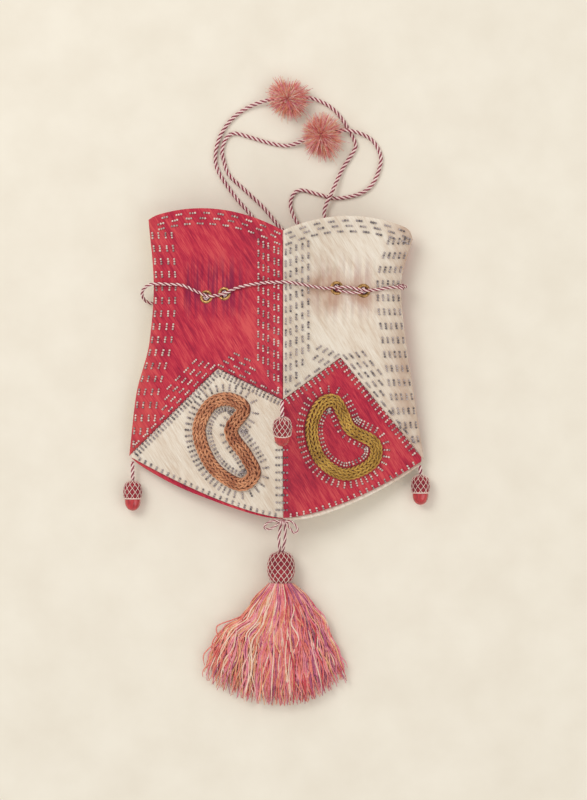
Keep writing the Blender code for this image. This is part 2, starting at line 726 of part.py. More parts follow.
def acorn(where, knot, cap_top, axis, finishes):
    """A pendant: a short twisted cord, a netted cap and a smooth nut in the cap's mouth."""
    axis = axis.normalized()
    length = (cap_top - knot).length
    route = [knot, cap_top - axis * length * 0.4, cap_top - axis * GAP * MM]
    cord = tube(f"acorn_cord_{where}", smooth_line(route, ACORN_CORD_D), ACORN_CORD_D, finishes["cord"])
    cap_r, mouth_r = CAP_D / 2, CAP_MOUTH_D / 2
    stub_r = NUT_D / 2 - SOCKET_WALL
    socket_r = stub_r + GAP
    cap = turned(
        f"acorn_cap_{where}",
        ((0.0, 0.0), (0.0, cap_r * 0.25), (CAP_LENGTH * 0.09, cap_r * 0.62), (CAP_LENGTH * 0.28, cap_r * 0.9),
         (CAP_LENGTH * 0.55, cap_r), (CAP_LENGTH * 0.8, cap_r * 0.985), (CAP_LENGTH, mouth_r),
         (CAP_LENGTH, socket_r), (CAP_LENGTH - SOCKET_DEPTH, socket_r), (CAP_LENGTH - SOCKET_DEPTH, 0.0)),
        ACORN_SIDES, cap_top, axis, finishes["cap"],
    )
    seat = cap_top + axis * (CAP_LENGTH + GAP) * MM
    nut_r = NUT_D / 2
    nut = turned(
        f"acorn_nut_{where}",
        ((-SOCKET_DEPTH, 0.0), (-SOCKET_DEPTH, stub_r), (0.0, stub_r), (0.0, nut_r),
         (NUT_LENGTH * 0.4, nut_r * 0.93), (NUT_LENGTH * 0.72, nut_r * 0.72), (NUT_LENGTH * 0.93, nut_r * 0.38),
         (NUT_LENGTH, 0.0)),
        ACORN_SIDES, seat, axis, finishes["nut"],
    )
    return cord, cap, nut


def acorns(surface, finishes):
    """One acorn at each lower corner: two beside the pouch, one on its front seam and one beneath it."""
    lying = CAP_D / 2 + ACORN_FLOOR_GAP
    down = Vector((0, -1, 0))
    for where, half, length in (("left", LEFT, LEFT_ACORN_CORD), ("right", RIGHT, RIGHT_ACORN_CORD)):
        out = half.corner_out - ACORN_INSET
        x, y = half.sign * out, half.bottom_edge(out) - PENDANT_GAP
        acorn(where, place(x, y, lying), place(x, y - length, lying), down, finishes)
    x, y = 0.0, FRONT_CORNER_UP - BACK_ACORN_DROP
    under = ACORN_RECESS_Z - ACORN_CORD_D / 2 - GAP
    acorn("back", place(x, y, under), place(x, y - FRONT_ACORN_CORD, lying), down, finishes)
    x, y = FRONT_ACORN_X, FRONT_CORNER_UP - FRONT_ACORN_DROP
    cap_y = y - FRONT_ACORN_CORD
    nut_r, nut_y = NUT_D / 2, CAP_LENGTH + GAP
    outline = ((CAP_LENGTH * 0.09, CAP_D * 0.31), (CAP_LENGTH * 0.28, CAP_D * 0.45), (CAP_LENGTH * 0.55, CAP_D / 2),
               (CAP_LENGTH, CAP_D / 2), (nut_y, nut_r), (nut_y + NUT_LENGTH * 0.4, nut_r * 0.93),
               (nut_y + NUT_LENGTH * 0.72, nut_r * 0.72), (nut_y + NUT_LENGTH, nut_r * 0.2))
    top, axis = surface.lay_down(x, cap_y, outline, FRONT_ACORN_LIFT)
    knot = place(x, y, surface.rest(x, y, ACORN_CORD_D / 2))
    acorn("front", knot, top, axis, finishes)


def waist_cord(surface, finish):
    """The slack cord round the waist, on the front cloth and under the back."""
    over = smooth_line([place(x, WAIST_UP + up, 0) for x, up in WAIST_FRONT], WAIST_STEP)
    for spot in over:
        x, y = spot.x / MM + ORIGIN_X, spot.y / MM + ORIGIN_Y
        spot.z = (surface.rest(x, y, WAIST_CORD_D / 2) + WAIST_CORD_LIFT) * MM
    back = [place(x, WAIST_UP + up, WAIST_BACK_Z) for x, up in WAIST_BACK]
    turn = [place(x, WAIST_UP + up, z) for x, up, z in WAIST_RIGHT_TURN]
    slack = [place(x, WAIST_UP + up, z) for x, up, z in WAIST_LEFT_TURN]
    line = smooth_line(over + turn + back + slack, WAIST_STEP, closed=True)
    return tube("waist_cord", line, WAIST_CORD_D, finish, closed=True)


def strand_end(spot):
    """A pull cord's end: down through its eyelet, from just under the waist cord."""
    px, py, pz, across, along = PLANES[half_at(spot[0]).sign]
    normal = Vector((-across, -along, 1)).normalized()
    x, y = spot
    middle = place(x, y, pz + across * (x - px) + along * (y - py)) + normal * (CLOTH / 2 * MM)
    return [middle + normal * (down * MM) for down in (STRAND_TOP, -2.4, -6.0)]


def inside_route(points):
    rise = FRONT_RIM_UP - WAIST_UP
    return [place(x, WAIST_UP + share * rise, z) for x, share, z in points]


def pull_cord(name, ends, inside, loop, finish):
    """A pull cord: up through an eyelet, out of the mouth, round its loop and back in again."""
    left = strand_end(ends[0]) + inside_route(inside[0])
    right = strand_end(ends[1]) + inside_route(inside[1])
    route = left + [place(*p) for p in loop] + right[::-1]
    tube(name, smooth_line(route, CORD_STEP), CORD_D, finish)
    return route


def pompon(name, route, spot, finish):
    """A flattened ball of clipped wool on its pull cord, with the cord's bend followed inside it."""
    line = smooth_line(route, 0.5)
    middle = min(range(len(line)), key=lambda i: (line[i] - place(*spot)).length)
    spacing = (line[middle + 1] - line[middle]).length / MM
    up = Vector((0, 0, 1))
    rings = []
    for k in range(POM_RINGS):
        turn = math.pi * (k + 0.5) / POM_RINGS
        i = middle - round(math.cos(turn) * POM_R * 0.9 / spacing)
        axis = (line[i + 2] - line[i - 2]).normalized()
        side = axis.cross(up).normalized()
        rings.append((line[i], side, side.cross(axis).normalized(), math.sin(turn)))
    points, faces = [], []
    for j in range(POM_SIDES):
        angle = 2 * math.pi * j / POM_SIDES
        reach = 1 / math.hypot(math.cos(angle) / POM_R, math.sin(angle) / POM_HALF_HEIGHT)
        outer = [(r, max(reach * r[3], POM_BORE_R + 0.8)) for r in rings]
        bore = [(r, POM_BORE_R) for r in rings[::-1]]
        for (centre, side, rise, _), radius in outer + bore:
            points.append(centre + (side * math.cos(angle) + rise * math.sin(angle)) * radius * MM)
    count = POM_RINGS * 2
    for j in range(POM_SIDES):
        for i in range(count):
            a, b = j * count + i, j * count + (i + 1) % count
            c, d = ((j + 1) % POM_SIDES) * count + (i + 1) % count, ((j + 1) % POM_SIDES) * count + i
            faces.append((a, b, c, d))
    return add(name, mesh_from(name, points, faces), finish)


def tassel_skirt(finish):
    """The fan of threads, lying spread on the table."""
    rings, sides = 9, SKIRT_LOBES * 2
    head_end = HEAD_START - HEAD_LENGTH - GAP
    left_out = SKIRT_LEFT_OUT + HEAD_X
    right_out = SKIRT_RIGHT_OUT - HEAD_X
    left = curve_through(((0.0, SKIRT_TOP_OUT), (0.12, left_out * 0.29), (0.3, left_out * 0.48),
                          (0.48, left_out * 0.76), (0.68, left_out * 0.87), (1.0, left_out)))
    right = curve_through(((0.0, SKIRT_TOP_OUT), (0.12, right_out * 0.38), (0.25, right_out * 0.51),
                           (0.42, right_out * 0.66), (0.65, right_out * 0.79), (1.0, right_out)))
    thick = curve_through(((0.0, 6.6), (0.15, 8.2), (0.5, 7.2), (1.0, SKIRT_END_HALF_THICK)))
    centre = curve_through(((0.0, HEAD_D / 2), (0.15, 8.4), (0.5, 7.4), (1.0, SKIRT_END_HALF_THICK + 0.2)))
    points, faces = [], []
    for k in range(rings):
        t = k / (rings - 1)
        for j in range(sides):
            angle = 2 * math.pi * j / sides
            q = math.cos(angle)
            lobe = 1 - SKIRT_LOBE_DEPTH * min(t * 6, 1) * (j % 2)
            x = HEAD_X + (right(t) if q > 0 else left(t)) * q
            y = head_end - SKIRT_SIDE_LENGTH * t - SKIRT_END_BOW * t * t * (1 - q * q)
            y += (j % 2) * 2.0 * (k == rings - 1)
            z = centre(t) + thick(t) * math.sin(angle) * lobe
            points.append(place(x, y, z))
    top, bottom = len(points), len(points) + 1
    points.append(place(HEAD_X, head_end, centre(0.0)))
    points.append(place(HEAD_X, head_end - SKIRT_SIDE_LENGTH - SKIRT_END_BOW * 0.6, centre(1.0)))
    for k in range(rings - 1):
        for j in range(sides):
            a, b = k * sides + j, k * sides + (j + 1) % sides
            faces.append((a, b, b + sides, a + sides))
    last = (rings - 1) * sides
    for j in range(sides):
        faces.append((top, (j + 1) % sides, j))
        faces.append((bottom, last + j, last + (j + 1) % sides))
    return add("tassel_skirt", mesh_from("tassel_skirt", points, faces), finish)


BOW_LEFT = ((-2.4, -2.4, 1.2), (-5.4, -1.8, 1.5), (-8.8, -2.6, 1.4), (-11.6, -4.6, 1.1), (-12.0, -6.4, 0.9),
            (-10.0, -7.4, 0.8), (-6.6, -6.4, 0.9), (-4.0, -4.6, 0.8), (-2.5, -3.4, 0.2))
BOW_RIGHT = ((2.4, -2.3, 1.2), (5.2, -2.3, 1.5), (7.4, -4.0, 1.2), (9.2, -6.6, 0.7), (9.2, -8.8, 0.4),
             (7.5, -9.8, 0.2), (5.8, -8.4, 0.4), (4.0, -6.0, 0.7), (2.5, -3.6, 0.2))


def tassel(finishes):
    """The tassel, which swings below the bowed knot at the bottom point."""
    knot_z = BOTTOM_Z - 1.0
    knot_y = -KNOT_R - KNOT_GAP
    knot = place(0, knot_y, knot_z)
    profile = [(KNOT_R * math.cos(math.pi * k / 6), KNOT_R * math.sin(math.pi * k / 6)) for k in range(7)]
    turned("tassel_knot", profile[::-1], 10, knot, Vector((1, 0, 0)), finishes["cord"])
    for name, route in (("tassel_bow_left", BOW_LEFT), ("tassel_bow_right", BOW_RIGHT)):
        line = smooth_line([place(x, y, knot_z + z) for x, y, z in route], BOW_CORD_D * 1.5)
        tube(name, line, BOW_CORD_D, finishes["cord"])
    head_z = HEAD_D / 2 + ACORN_FLOOR_GAP
    for name, side in (("tassel_cord_left", -1), ("tassel_cord_right", 1)):
        route = (
            place(side * HANGER_D * 0.75, knot_y - KNOT_R, knot_z - 1.3),
            place(HEAD_X * 0.5 + side * HANGER_D, (knot_y + HEAD_START) / 2, (knot_z + head_z) / 2 + 0.2),
            place(HEAD_X + side * HANGER_D * 0.7, HEAD_START + HANGER_D * 0.6, head_z + 0.4),
        )
        tube(name, smooth_line(route, HANGER_D * 1.5), HANGER_D, finishes["cord"])
    r = HEAD_D / 2
    profile = ((0.0, 0.0), (0.0, r * 0.3), (HEAD_LENGTH * 0.07, r * 0.55), (HEAD_LENGTH * 0.2, r * 0.83),
               (HEAD_LENGTH * 0.35, r * 0.97), (HEAD_LENGTH * 0.5, r), (HEAD_LENGTH * 0.7, r * 0.95),
               (HEAD_LENGTH * 0.88, r * 0.81), (HEAD_LENGTH, HEAD_FOOT_D / 2), (HEAD_LENGTH, 0.0))
    turned("tassel_head", profile, 14, place(HEAD_X, HEAD_START, head_z), Vector((0, -1, 0)), finishes["cap"])
    tassel_skirt(finishes["wool"])


def build():
    red = material("red cloth", (0.62, 0.03, 0.05), 0.85)
    white = material("white cloth", (0.82, 0.76, 0.64), 0.85)
    brass = material("brass", (0.62, 0.42, 0.14), 0.35, 1.0)
    twist = material("red and white twist", (0.55, 0.16, 0.2), 0.8)
    copper_cord = material("copper cord", (0.48, 0.2, 0.07), 0.6)
    gold_cord = material("gold cord", (0.5, 0.3, 0.03), 0.6)
    wool = material("coral wool", (0.7, 0.2, 0.2), 0.9)
    net = material("netted beads", (0.3, 0.03, 0.05), 0.5)
    lacquer = material("red lacquer", (0.5, 0.01, 0.02), 0.15)
    walls = {
        "left": wall("wall_front_left", LEFT, True, red),
        "right": wall("wall_front_right", RIGHT, True, white),
        "back_left": wall("wall_back_left", LEFT, False, white),
        "back_right": wall("wall_back_right", RIGHT, False, red),
    }
    lozenges = [
        lozenge("lozenge_front_left", LEFT, True, white),
        lozenge("lozenge_front_right", RIGHT, True, red),
    ]
    lozenge("lozenge_back_left", LEFT, False, red)
    lozenge("lozenge_back_right", RIGHT, False, white)
    eyelets = front_eyelets(walls, brass)
    back_eyelets(walls, brass)
    front = Surface([walls["left"], walls["right"], *lozenges, *eyelets])
    bean("bean_front_left", LEFT_BEAN, front, copper_cord)
    bean("bean_front_right", RIGHT_BEAN, front, gold_cord)
    waist_cord(front, twist)
    outer = pull_cord("pull_cord_outer", (LEFT_EYELETS[0], RIGHT_EYELETS[1]),
                      (OUTER_LEFT_INSIDE, OUTER_RIGHT_INSIDE), OUTER_LOOP, twist)
    inner = pull_cord("pull_cord_inner", (LEFT_EYELETS[1], RIGHT_EYELETS[0]),
                      (INNER_LEFT_INSIDE, INNER_RIGHT_INSIDE), INNER_LOOP, twist)
    pompon("pompon_outer", outer, OUTER_LOOP[OUTER_LOOP_POM], wool)
    pompon("pompon_inner", inner, INNER_LOOP[INNER_LOOP_POM], wool)
    finishes = {"cord": twist, "cap": net, "nut": lacquer, "wool": wool}
    acorns(front, finishes)
    tassel(finishes)


for old in list(bpy.data.objects):
    bpy.data.objects.remove(old)
build()
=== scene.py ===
"""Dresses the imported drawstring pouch: cloth, beads, braid, twisted cord, acorns, tassel and pompons.

Lengths are in millimetres in the pouch's own plan, x across from the front seam and y up from the
bottom point, until a mesh is made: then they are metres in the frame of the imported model.
"""

import math
import random

import bpy
import numpy as np
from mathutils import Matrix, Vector, noise
from mathutils.bvhtree import BVHTree


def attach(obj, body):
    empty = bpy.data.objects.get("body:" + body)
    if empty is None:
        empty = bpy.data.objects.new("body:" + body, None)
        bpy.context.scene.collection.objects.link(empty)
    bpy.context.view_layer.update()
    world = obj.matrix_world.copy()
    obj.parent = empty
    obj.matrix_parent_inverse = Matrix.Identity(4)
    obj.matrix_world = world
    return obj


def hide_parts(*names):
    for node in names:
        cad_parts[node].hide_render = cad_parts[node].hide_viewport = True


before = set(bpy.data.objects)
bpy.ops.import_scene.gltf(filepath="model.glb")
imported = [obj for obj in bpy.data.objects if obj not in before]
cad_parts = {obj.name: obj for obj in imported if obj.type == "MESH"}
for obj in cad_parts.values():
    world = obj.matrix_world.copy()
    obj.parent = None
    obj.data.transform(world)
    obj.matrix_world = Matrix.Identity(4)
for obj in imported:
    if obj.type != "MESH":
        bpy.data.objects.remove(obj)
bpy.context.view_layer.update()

MM = 0.001
GAP = 0.3
ORIGIN = np.array((-3.8, 40.5, 0.0))

# Cloth
CLOTH = 1.5
SEAM_GAP = 0.3
EDGE_GAP = 0.5

CORNER_BLUNT = 1.6
CORNER_SOFTNESS = 5.0

# Heights along the front seam
FRONT_CORNER_UP = 76.7
BELLY_UP = 80.0
FLANK_UP = 115.0
WAIST_UP = 150.0
FRONT_RIM_UP = 186.0
BACK_RIM_DROP = 4.0
RIM_ROUNDING_SHARE = 0.08
BOTTOM_Z = 22.0
CORNER_Z = 7.0
WAIST_EDGE_Z = 12.0
RIM_EDGE_Z = 10.0
BELLY_LIFT = 54.0
WAIST_LIFT = 34.0
RIM_LIFT = 40.0
WAIST_FLOOR_GAP = 4.5
WAIST_FLOOR_SPREAD = 15.0
WAIST_FLOOR_BELOW = 4.5
ACORN_RECESS_Z = 12.8
ACORN_RECESS_HALF = 22.0
ACORN_RECESS_FADE = 13.0
ACORN_RECESS_START = 16.0
ACORN_RECESS_RAMP = 14.0
ACORN_RECESS_BEYOND = 3.0

# Gathers and eyelets
EYELET_OUTER_R = 4.5
EYELET_HOLE_R = 2.5
LEFT_EYELETS = ((-49.4, WAIST_UP - 6.3), (-37.7, WAIST_UP - 4.4))
RIGHT_EYELETS = ((34.5, WAIST_UP - 0.7), (52.0, WAIST_UP - 2.3))

# Cords: diameters, and the length in which a cord turns once
CORD_D = 2.6
WAIST_CORD_D = 2.1
ACORN_CORD_D = 2.8
HANGER_D = 2.0
BOW_CORD_D = 1.4
STRAND_TOP = 1.2  # of a pull cord's end, above the cloth in its eyelet
CORD_LAY = 7.2
WAIST_CORD_LAY = 8.0
BOW_CORD_LAY = 8.4
HANGER_LAY = 13.0
ACORN_CORD_LAY = 7.6

# Bean-shaped rings of couched cord
LEFT_BEAN = ((-35.1, 77.4), (-24.7, 70.9), (-33.2, 56.6), (-23.4, 41.0), (-18.2, 29.3),
             (-28.0, 22.1), (-45.5, 33.8), (-54.3, 55.9), (-47.5, 72.8))
RIGHT_BEAN = ((32.5, 76.4), (38.0, 68.3), (43.6, 57.9), (59.2, 48.8), (57.2, 35.8),
              (39.7, 28.6), (23.4, 39.0), (17.6, 58.5), (23.4, 73.5))

# Acorn pendants
CAP_D = 12.4
CAP_LENGTH = 12.0
NUT_D = 10.4
NUT_LENGTH = 7.6
ACORN_FLOOR_GAP = 0.1

# Tassel
HEAD_D = 18.2
HEAD_LENGTH = 21.4
HEAD_START = -22.4
HEAD_X = -1.3
SKIRT_TOP_OUT = 7.8
SKIRT_LEFT_OUT = 51.0
SKIRT_RIGHT_OUT = 39.8
SKIRT_SIDE_LENGTH = 62.5
SKIRT_END_BOW = 15.5
KNOT_R = 1.9
KNOT_GAP = 0.7


def clamp(value, low=0.0, high=1.0):
    return max(low, min(high, value))


def smoothstep(low, high, value):
    t = clamp((value - low) / (high - low))
    return t * t * (3 - 2 * t)


def rgb(red, green, blue):
    """Screen values from 0 to 255 as the linear colour that a shader takes."""
    shares = [v / 255 for v in (red, green, blue)]
    return tuple(v / 12.92 if v <= 0.04045 else ((v + 0.055) / 1.055) ** 2.4 for v in shares)


def curve_through(stations):
    """A smooth function of one variable through (place, value) pairs, flat where the values turn."""
    at = [s[0] for s in stations]
    value = [s[1] for s in stations]
    chord = [(value[i + 1] - value[i]) / (at[i + 1] - at[i]) for i in range(len(at) - 1)]
    slope = [chord[0]]
    for before, after in zip(chord, chord[1:]):
        slope.append(0.0 if before * after <= 0 else 2 * before * after / (before + after))
    slope.append(chord[-1])

    def found(x):
        x = clamp(x, at[0], at[-1])
        i = max(k for k in range(len(at) - 1) if at[k] <= x)
        width = at[i + 1] - at[i]
        t = (x - at[i]) / width
        rise = value[i + 1] - value[i]
        a = slope[i] * width - rise
        b = rise - slope[i + 1] * width
        return value[i] + t * rise + t * (1 - t) * ((1 - t) * a + t * b)

    return found


class Half:
    """One half of the pouch, seen from above: sign is -1 on the left and 1 on the right.

    corner, rim and apex are (distance from the seam, y), and sides are the distances at belly, flank and waist.
    """

    def __init__(self, sign, corner, sides, rim, arch, rounding, apex, power, shoulder):
        self.sign = sign
        self.corner_out, self.corner_up = corner
        self.rim_out, self.rim_up = rim
        self.apex_out, self.apex_up = apex
        self.arch, self.rounding, self.power, self.shoulder = arch, rounding, power, shoulder
        belly_out, flank_out, waist_out = sides
        self.side = curve_through(
            ((self.corner_up, self.corner_out), (BELLY_UP, belly_out), (FLANK_UP, flank_out),
             (WAIST_UP, waist_out), (self.rim_up, self.rim_out))
        )

    def bottom_edge(self, out, hem=0.0):
        """y of the pouch's lower edge at a distance from the seam, and hem below it for a longer piece."""
        share = clamp(out / self.corner_out)
        return self.corner_up * share**self.power - hem * math.sin(math.pi * share)

    def width(self, y):
        """Distance from the front seam to the outline at y."""
        if y >= self.corner_up:
            return self.side(y)
        return self.corner_out * clamp(y / self.corner_up) ** (1 / self.power)

    def soft_width(self, y):
        """The outline's distance with its corner rounded, which the height of the cloth goes by."""
        low = self.corner_out * clamp(y / self.corner_up, 0.0, 1.6) ** (1 / self.power)
        high = self.side(y)
        softness = CORNER_SOFTNESS * clamp(y / self.corner_up)
        mean = (low + high) / 2
        return max(mean - math.sqrt(((low - high) / 2) ** 2 + softness**2), 0.2)

    def seam(self, out):
        """y of the seam between wall and lozenge at a distance from the front seam."""
        if out <= self.apex_out:
            share = out / self.apex_out
            return FRONT_CORNER_UP + (self.apex_up - FRONT_CORNER_UP) * share
        share = (out - self.apex_out) / (self.corner_out - self.apex_out)
        return self.apex_up + (self.corner_up - self.apex_up) * share

    def seam_at_share(self, share):
        """y of that seam where the distance is a share of the outline's."""
        y = self.apex_up
        for _ in range(40):
            y = 0.5 * y + 0.5 * self.seam(min(share * self.width(y), self.corner_out))
        return max(y, self.corner_up)

    def rim(self, share, drop=0.0):
        """y of the wall's arched top edge at a share of the way from the front seam to the side."""
        y = FRONT_RIM_UP + (self.rim_up - FRONT_RIM_UP) * share
        turned_down = self.rounding * clamp((share - 1) / RIM_ROUNDING_SHARE + 1) ** 2
        return y + 4 * self.arch * share * (1 - share) - turned_down - drop


LEFT = Half(-1, corner=(100.6, 40.0), sides=(96.0, 87.2, 84.4), rim=(88.0, 195.5), arch=10.2, rounding=1.2,
            apex=(42.4, 97.2), power=1.4, shoulder=0.08)
RIGHT = Half(1, corner=(92.0, 37.6), sides=(85.6, 80.3, 77.0), rim=(86.0, 186.5), arch=10.0, rounding=5.0,
             apex=(37.2, 104.0), power=1.6, shoulder=0.26)

CORNERS_UP = (LEFT.corner_up + RIGHT.corner_up) / 2
edge_height = curve_through(
    ((0.0, BOTTOM_Z), (CORNERS_UP * 0.35, BOTTOM_Z * 0.68), (CORNERS_UP, CORNER_Z), (BELLY_UP, CORNER_Z + 1),
     (WAIST_UP, WAIST_EDGE_Z), (FRONT_RIM_UP, RIM_EDGE_Z))
)
ridge_lift = curve_through(
    ((0.0, 0.0), (BELLY_UP * 0.12, BELLY_LIFT * 0.24), (BELLY_UP * 0.5, BELLY_LIFT * 0.74),
     (BELLY_UP, BELLY_LIFT), (BELLY_UP * 1.3, BELLY_LIFT * 0.98), (WAIST_UP, WAIST_LIFT),
     (FRONT_RIM_UP, RIM_LIFT))
)


def half_at(x):
    return LEFT if x < 0 else RIGHT


def share_from_edge(half, x, y):
    """0 on the outline and 1 on the front seam."""
    return clamp(1 - abs(x) / half.soft_width(y))


def lining(half, x, y):
    """z of the inner face of the front cloth, without its gathers."""
    u = share_from_edge(half, x, y)
    shoulder = half.shoulder * smoothstep(CORNERS_UP * 0.5, BELLY_UP, y)
    rise = shoulder * (1 - math.exp(-u / 0.07)) + (0.5 - shoulder) * u + 0.5 * u**3
    return edge_height(y) + EDGE_GAP / 2 + ridge_lift(y) * rise


def slopes(half, x, y, step):
    """How fast the lining rises across and along the pouch."""
    across = (lining(half, x + step, y) - lining(half, x - step, y)) / (2 * step)
    along = (lining(half, x, y + step) - lining(half, x, y - step)) / (2 * step)
    return across, along


def eyelet_plane(half):
    """The flat patch that holds a half's two front eyelets: its middle, its z there and its slopes."""
    pair = LEFT_EYELETS if half is LEFT else RIGHT_EYELETS
    x, y = ((pair[0][k] + pair[1][k]) / 2 for k in (0, 1))
    return x, y, lining(half, x, y), *slopes(half, x, y, 5.0)


PLANES = {-1: eyelet_plane(LEFT), 1: eyelet_plane(RIGHT)}
FLAT_REACH = 9.0
FLAT_FADE = 15.0


def nearest_eyelet(x, y):
    return min(math.dist((x, y), e) for e in LEFT_EYELETS + RIGHT_EYELETS)


def flatness(x, y):
    """1 on the flat patch around an eyelet, 0 away from it."""
    return 1 - smoothstep(FLAT_REACH, FLAT_FADE, nearest_eyelet(x, y))


def front_inner(half, x, y):
    """z of the inner face of the front cloth, flat round its eyelets."""
    z = lining(half, x, y)
    flat = flatness(x, y)
    px, py, pz, across, along = PLANES[half.sign]
    return z + flat * (pz + across * (x - px) + along * (y - py) - z)


def back_outer(half, x, y):
    """z of the outer face of the back cloth, which lies on the table."""
    waist = WAIST_FLOOR_GAP * math.exp(-(((y - WAIST_UP + WAIST_FLOOR_BELOW) / WAIST_FLOOR_SPREAD) ** 6))
    lower = BOTTOM_Z * clamp(1 - y / (BELLY_UP + 4)) ** 2.5
    edge = edge_height(y) - EDGE_GAP / 2 - CLOTH
    across = 1 - smoothstep(ACORN_RECESS_HALF, ACORN_RECESS_HALF + ACORN_RECESS_FADE, abs(x))
    end = FRONT_CORNER_UP + ACORN_RECESS_BEYOND
    along = smoothstep(ACORN_RECESS_START, ACORN_RECESS_START + ACORN_RECESS_RAMP, y)
    along *= 1 - smoothstep(end, end + ACORN_RECESS_RAMP, y)
    floor = max(waist, min(lower, edge))
    floor += max(ACORN_RECESS_Z - floor, 0.0) * across * along
    u = share_from_edge(half, x, y)
    return floor + max(edge - floor, 0.0) * (1 - smoothstep(0.0, 0.22, u))


def plan(points):
    """Plan millimetres to metres in the frame."""
    return (np.asarray(points, float) - ORIGIN) * MM


# Materials

NAP_SLANT = math.radians(-32)
GATHERS_OUT = 0.043


class Nodes:
    """A node tree being filled, with its shader at hand."""

    def __init__(self, name):
        self.made = bpy.data.materials.new(name)
        self.made.use_nodes = True
        self.tree = self.made.node_tree
        self.shader = self.tree.nodes["Principled BSDF"]
        self.coords = self.tree.nodes.new("ShaderNodeTexCoord").outputs["Object"]

    def node(self, kind, **values):
        made = self.tree.nodes.new(kind)
        for name, value in values.items():
            setattr(made, name, value)
        return made

    def link(self, source, target):
        self.tree.links.new(source, target)

    def turned(self, rotation, scale):
        vector = self.coords
        for name, value in (("Rotation", rotation), ("Scale", scale)):
            mapping = self.node("ShaderNodeMapping")
            mapping.inputs[name].default_value = value
            self.link(vector, mapping.inputs["Vector"])
            vector = mapping.outputs["Vector"]
        return vector

    def noise(self, scale, detail=3.0, vector=None, rough=0.5, distortion=0.0):
        made = self.node("ShaderNodeTexNoise")
        made.inputs["Scale"].default_value = scale
        made.inputs["Detail"].default_value = detail
        made.inputs["Roughness"].default_value = rough
        made.inputs["Distortion"].default_value = distortion
        self.link(self.coords if vector is None else vector, made.inputs["Vector"])
        return made.outputs["Fac"]

    def ramp(self, value, stops):
        made = self.node("ShaderNodeValToRGB")
        band = made.color_ramp
        while len(band.elements) < len(stops):
            band.elements.new(0.5)
        for element, (place, colour) in zip(band.elements, stops):
            element.position = place
            element.color = (*colour, 1.0)
        self.link(value, made.inputs["Fac"])
        return made.outputs["Color"]

    def mix(self, a, b, share):
        made = self.node("ShaderNodeMix", data_type="RGBA")
        for socket, given in ((made.inputs[6], a), (made.inputs[7], b), (made.inputs[0], share)):
            if isinstance(given, tuple):
                socket.default_value = (*given, 1.0)
            elif isinstance(given, (int, float)):
                socket.default_value = given
            else:
                self.link(given, socket)
        return made.outputs[2]

    def maths(self, operation, a, b=0.0):
        made = self.node("ShaderNodeMath", operation=operation)
        for socket, given in zip(made.inputs, (a, b)):
            if isinstance(given, (int, float)):
                socket.default_value = given
            else:
                self.link(given, socket)
        return made.outputs[0]

    def weighted(self, *pairs):
        """The sum of values, each times its weight."""
        parts = [self.maths("MULTIPLY", value, weight) for value, weight in pairs]
        total = parts[0]
        for part in parts[1:]:
            total = self.maths("ADD", total, part)
        return total

    def between(self, value, low, high, to_low=0.0, to_high=1.0):
        made = self.node("ShaderNodeMapRange", interpolation_type="SMOOTHSTEP")
        for name, given in (("From Min", low), ("From Max", high), ("To Min", to_low), ("To Max", to_high)):
            made.inputs[name].default_value = given
        self.link(value, made.inputs["Value"])
        return made.outputs[0]

    def axis(self, index):
        made = self.node("ShaderNodeSeparateXYZ")
        self.link(self.coords, made.inputs[0])
        return made.outputs[index]

    def near(self, spot, full, none):
        """1 within full of a place in the plan, falling to 0 at none, all in metres."""
        flat = self.node("ShaderNodeVectorMath", operation="MULTIPLY")
        flat.inputs[1].default_value = (1.0, 1.0, 0.0)
        self.link(self.coords, flat.inputs[0])
        away = self.node("ShaderNodeVectorMath", operation="DISTANCE")
        away.inputs[1].default_value = (*spot, 0.0)
        self.link(flat.outputs[0], away.inputs[0])
        return self.between(away.outputs["Value"], full, none, 1.0, 0.0)

    def bump(self, height, distance, strength=1.0):
        made = self.node("ShaderNodeBump")
        made.inputs["Distance"].default_value = distance
        made.inputs["Strength"].default_value = strength
        self.link(height, made.inputs["Height"])
        if self.shader.inputs["Normal"].is_linked:
            self.link(self.shader.inputs["Normal"].links[0].from_socket, made.inputs["Normal"])
        self.link(made.outputs[0], self.shader.inputs["Normal"])

    def set(self, **values):
        for name, value in values.items():
            socket = self.shader.inputs[name.replace("_", " ")]
            if isinstance(value, bpy.types.NodeSocket):
                self.link(value, socket)
            elif isinstance(value, tuple):
                socket.default_value = (*value, 1.0)
            else:
                socket.default_value = value
        return self.made


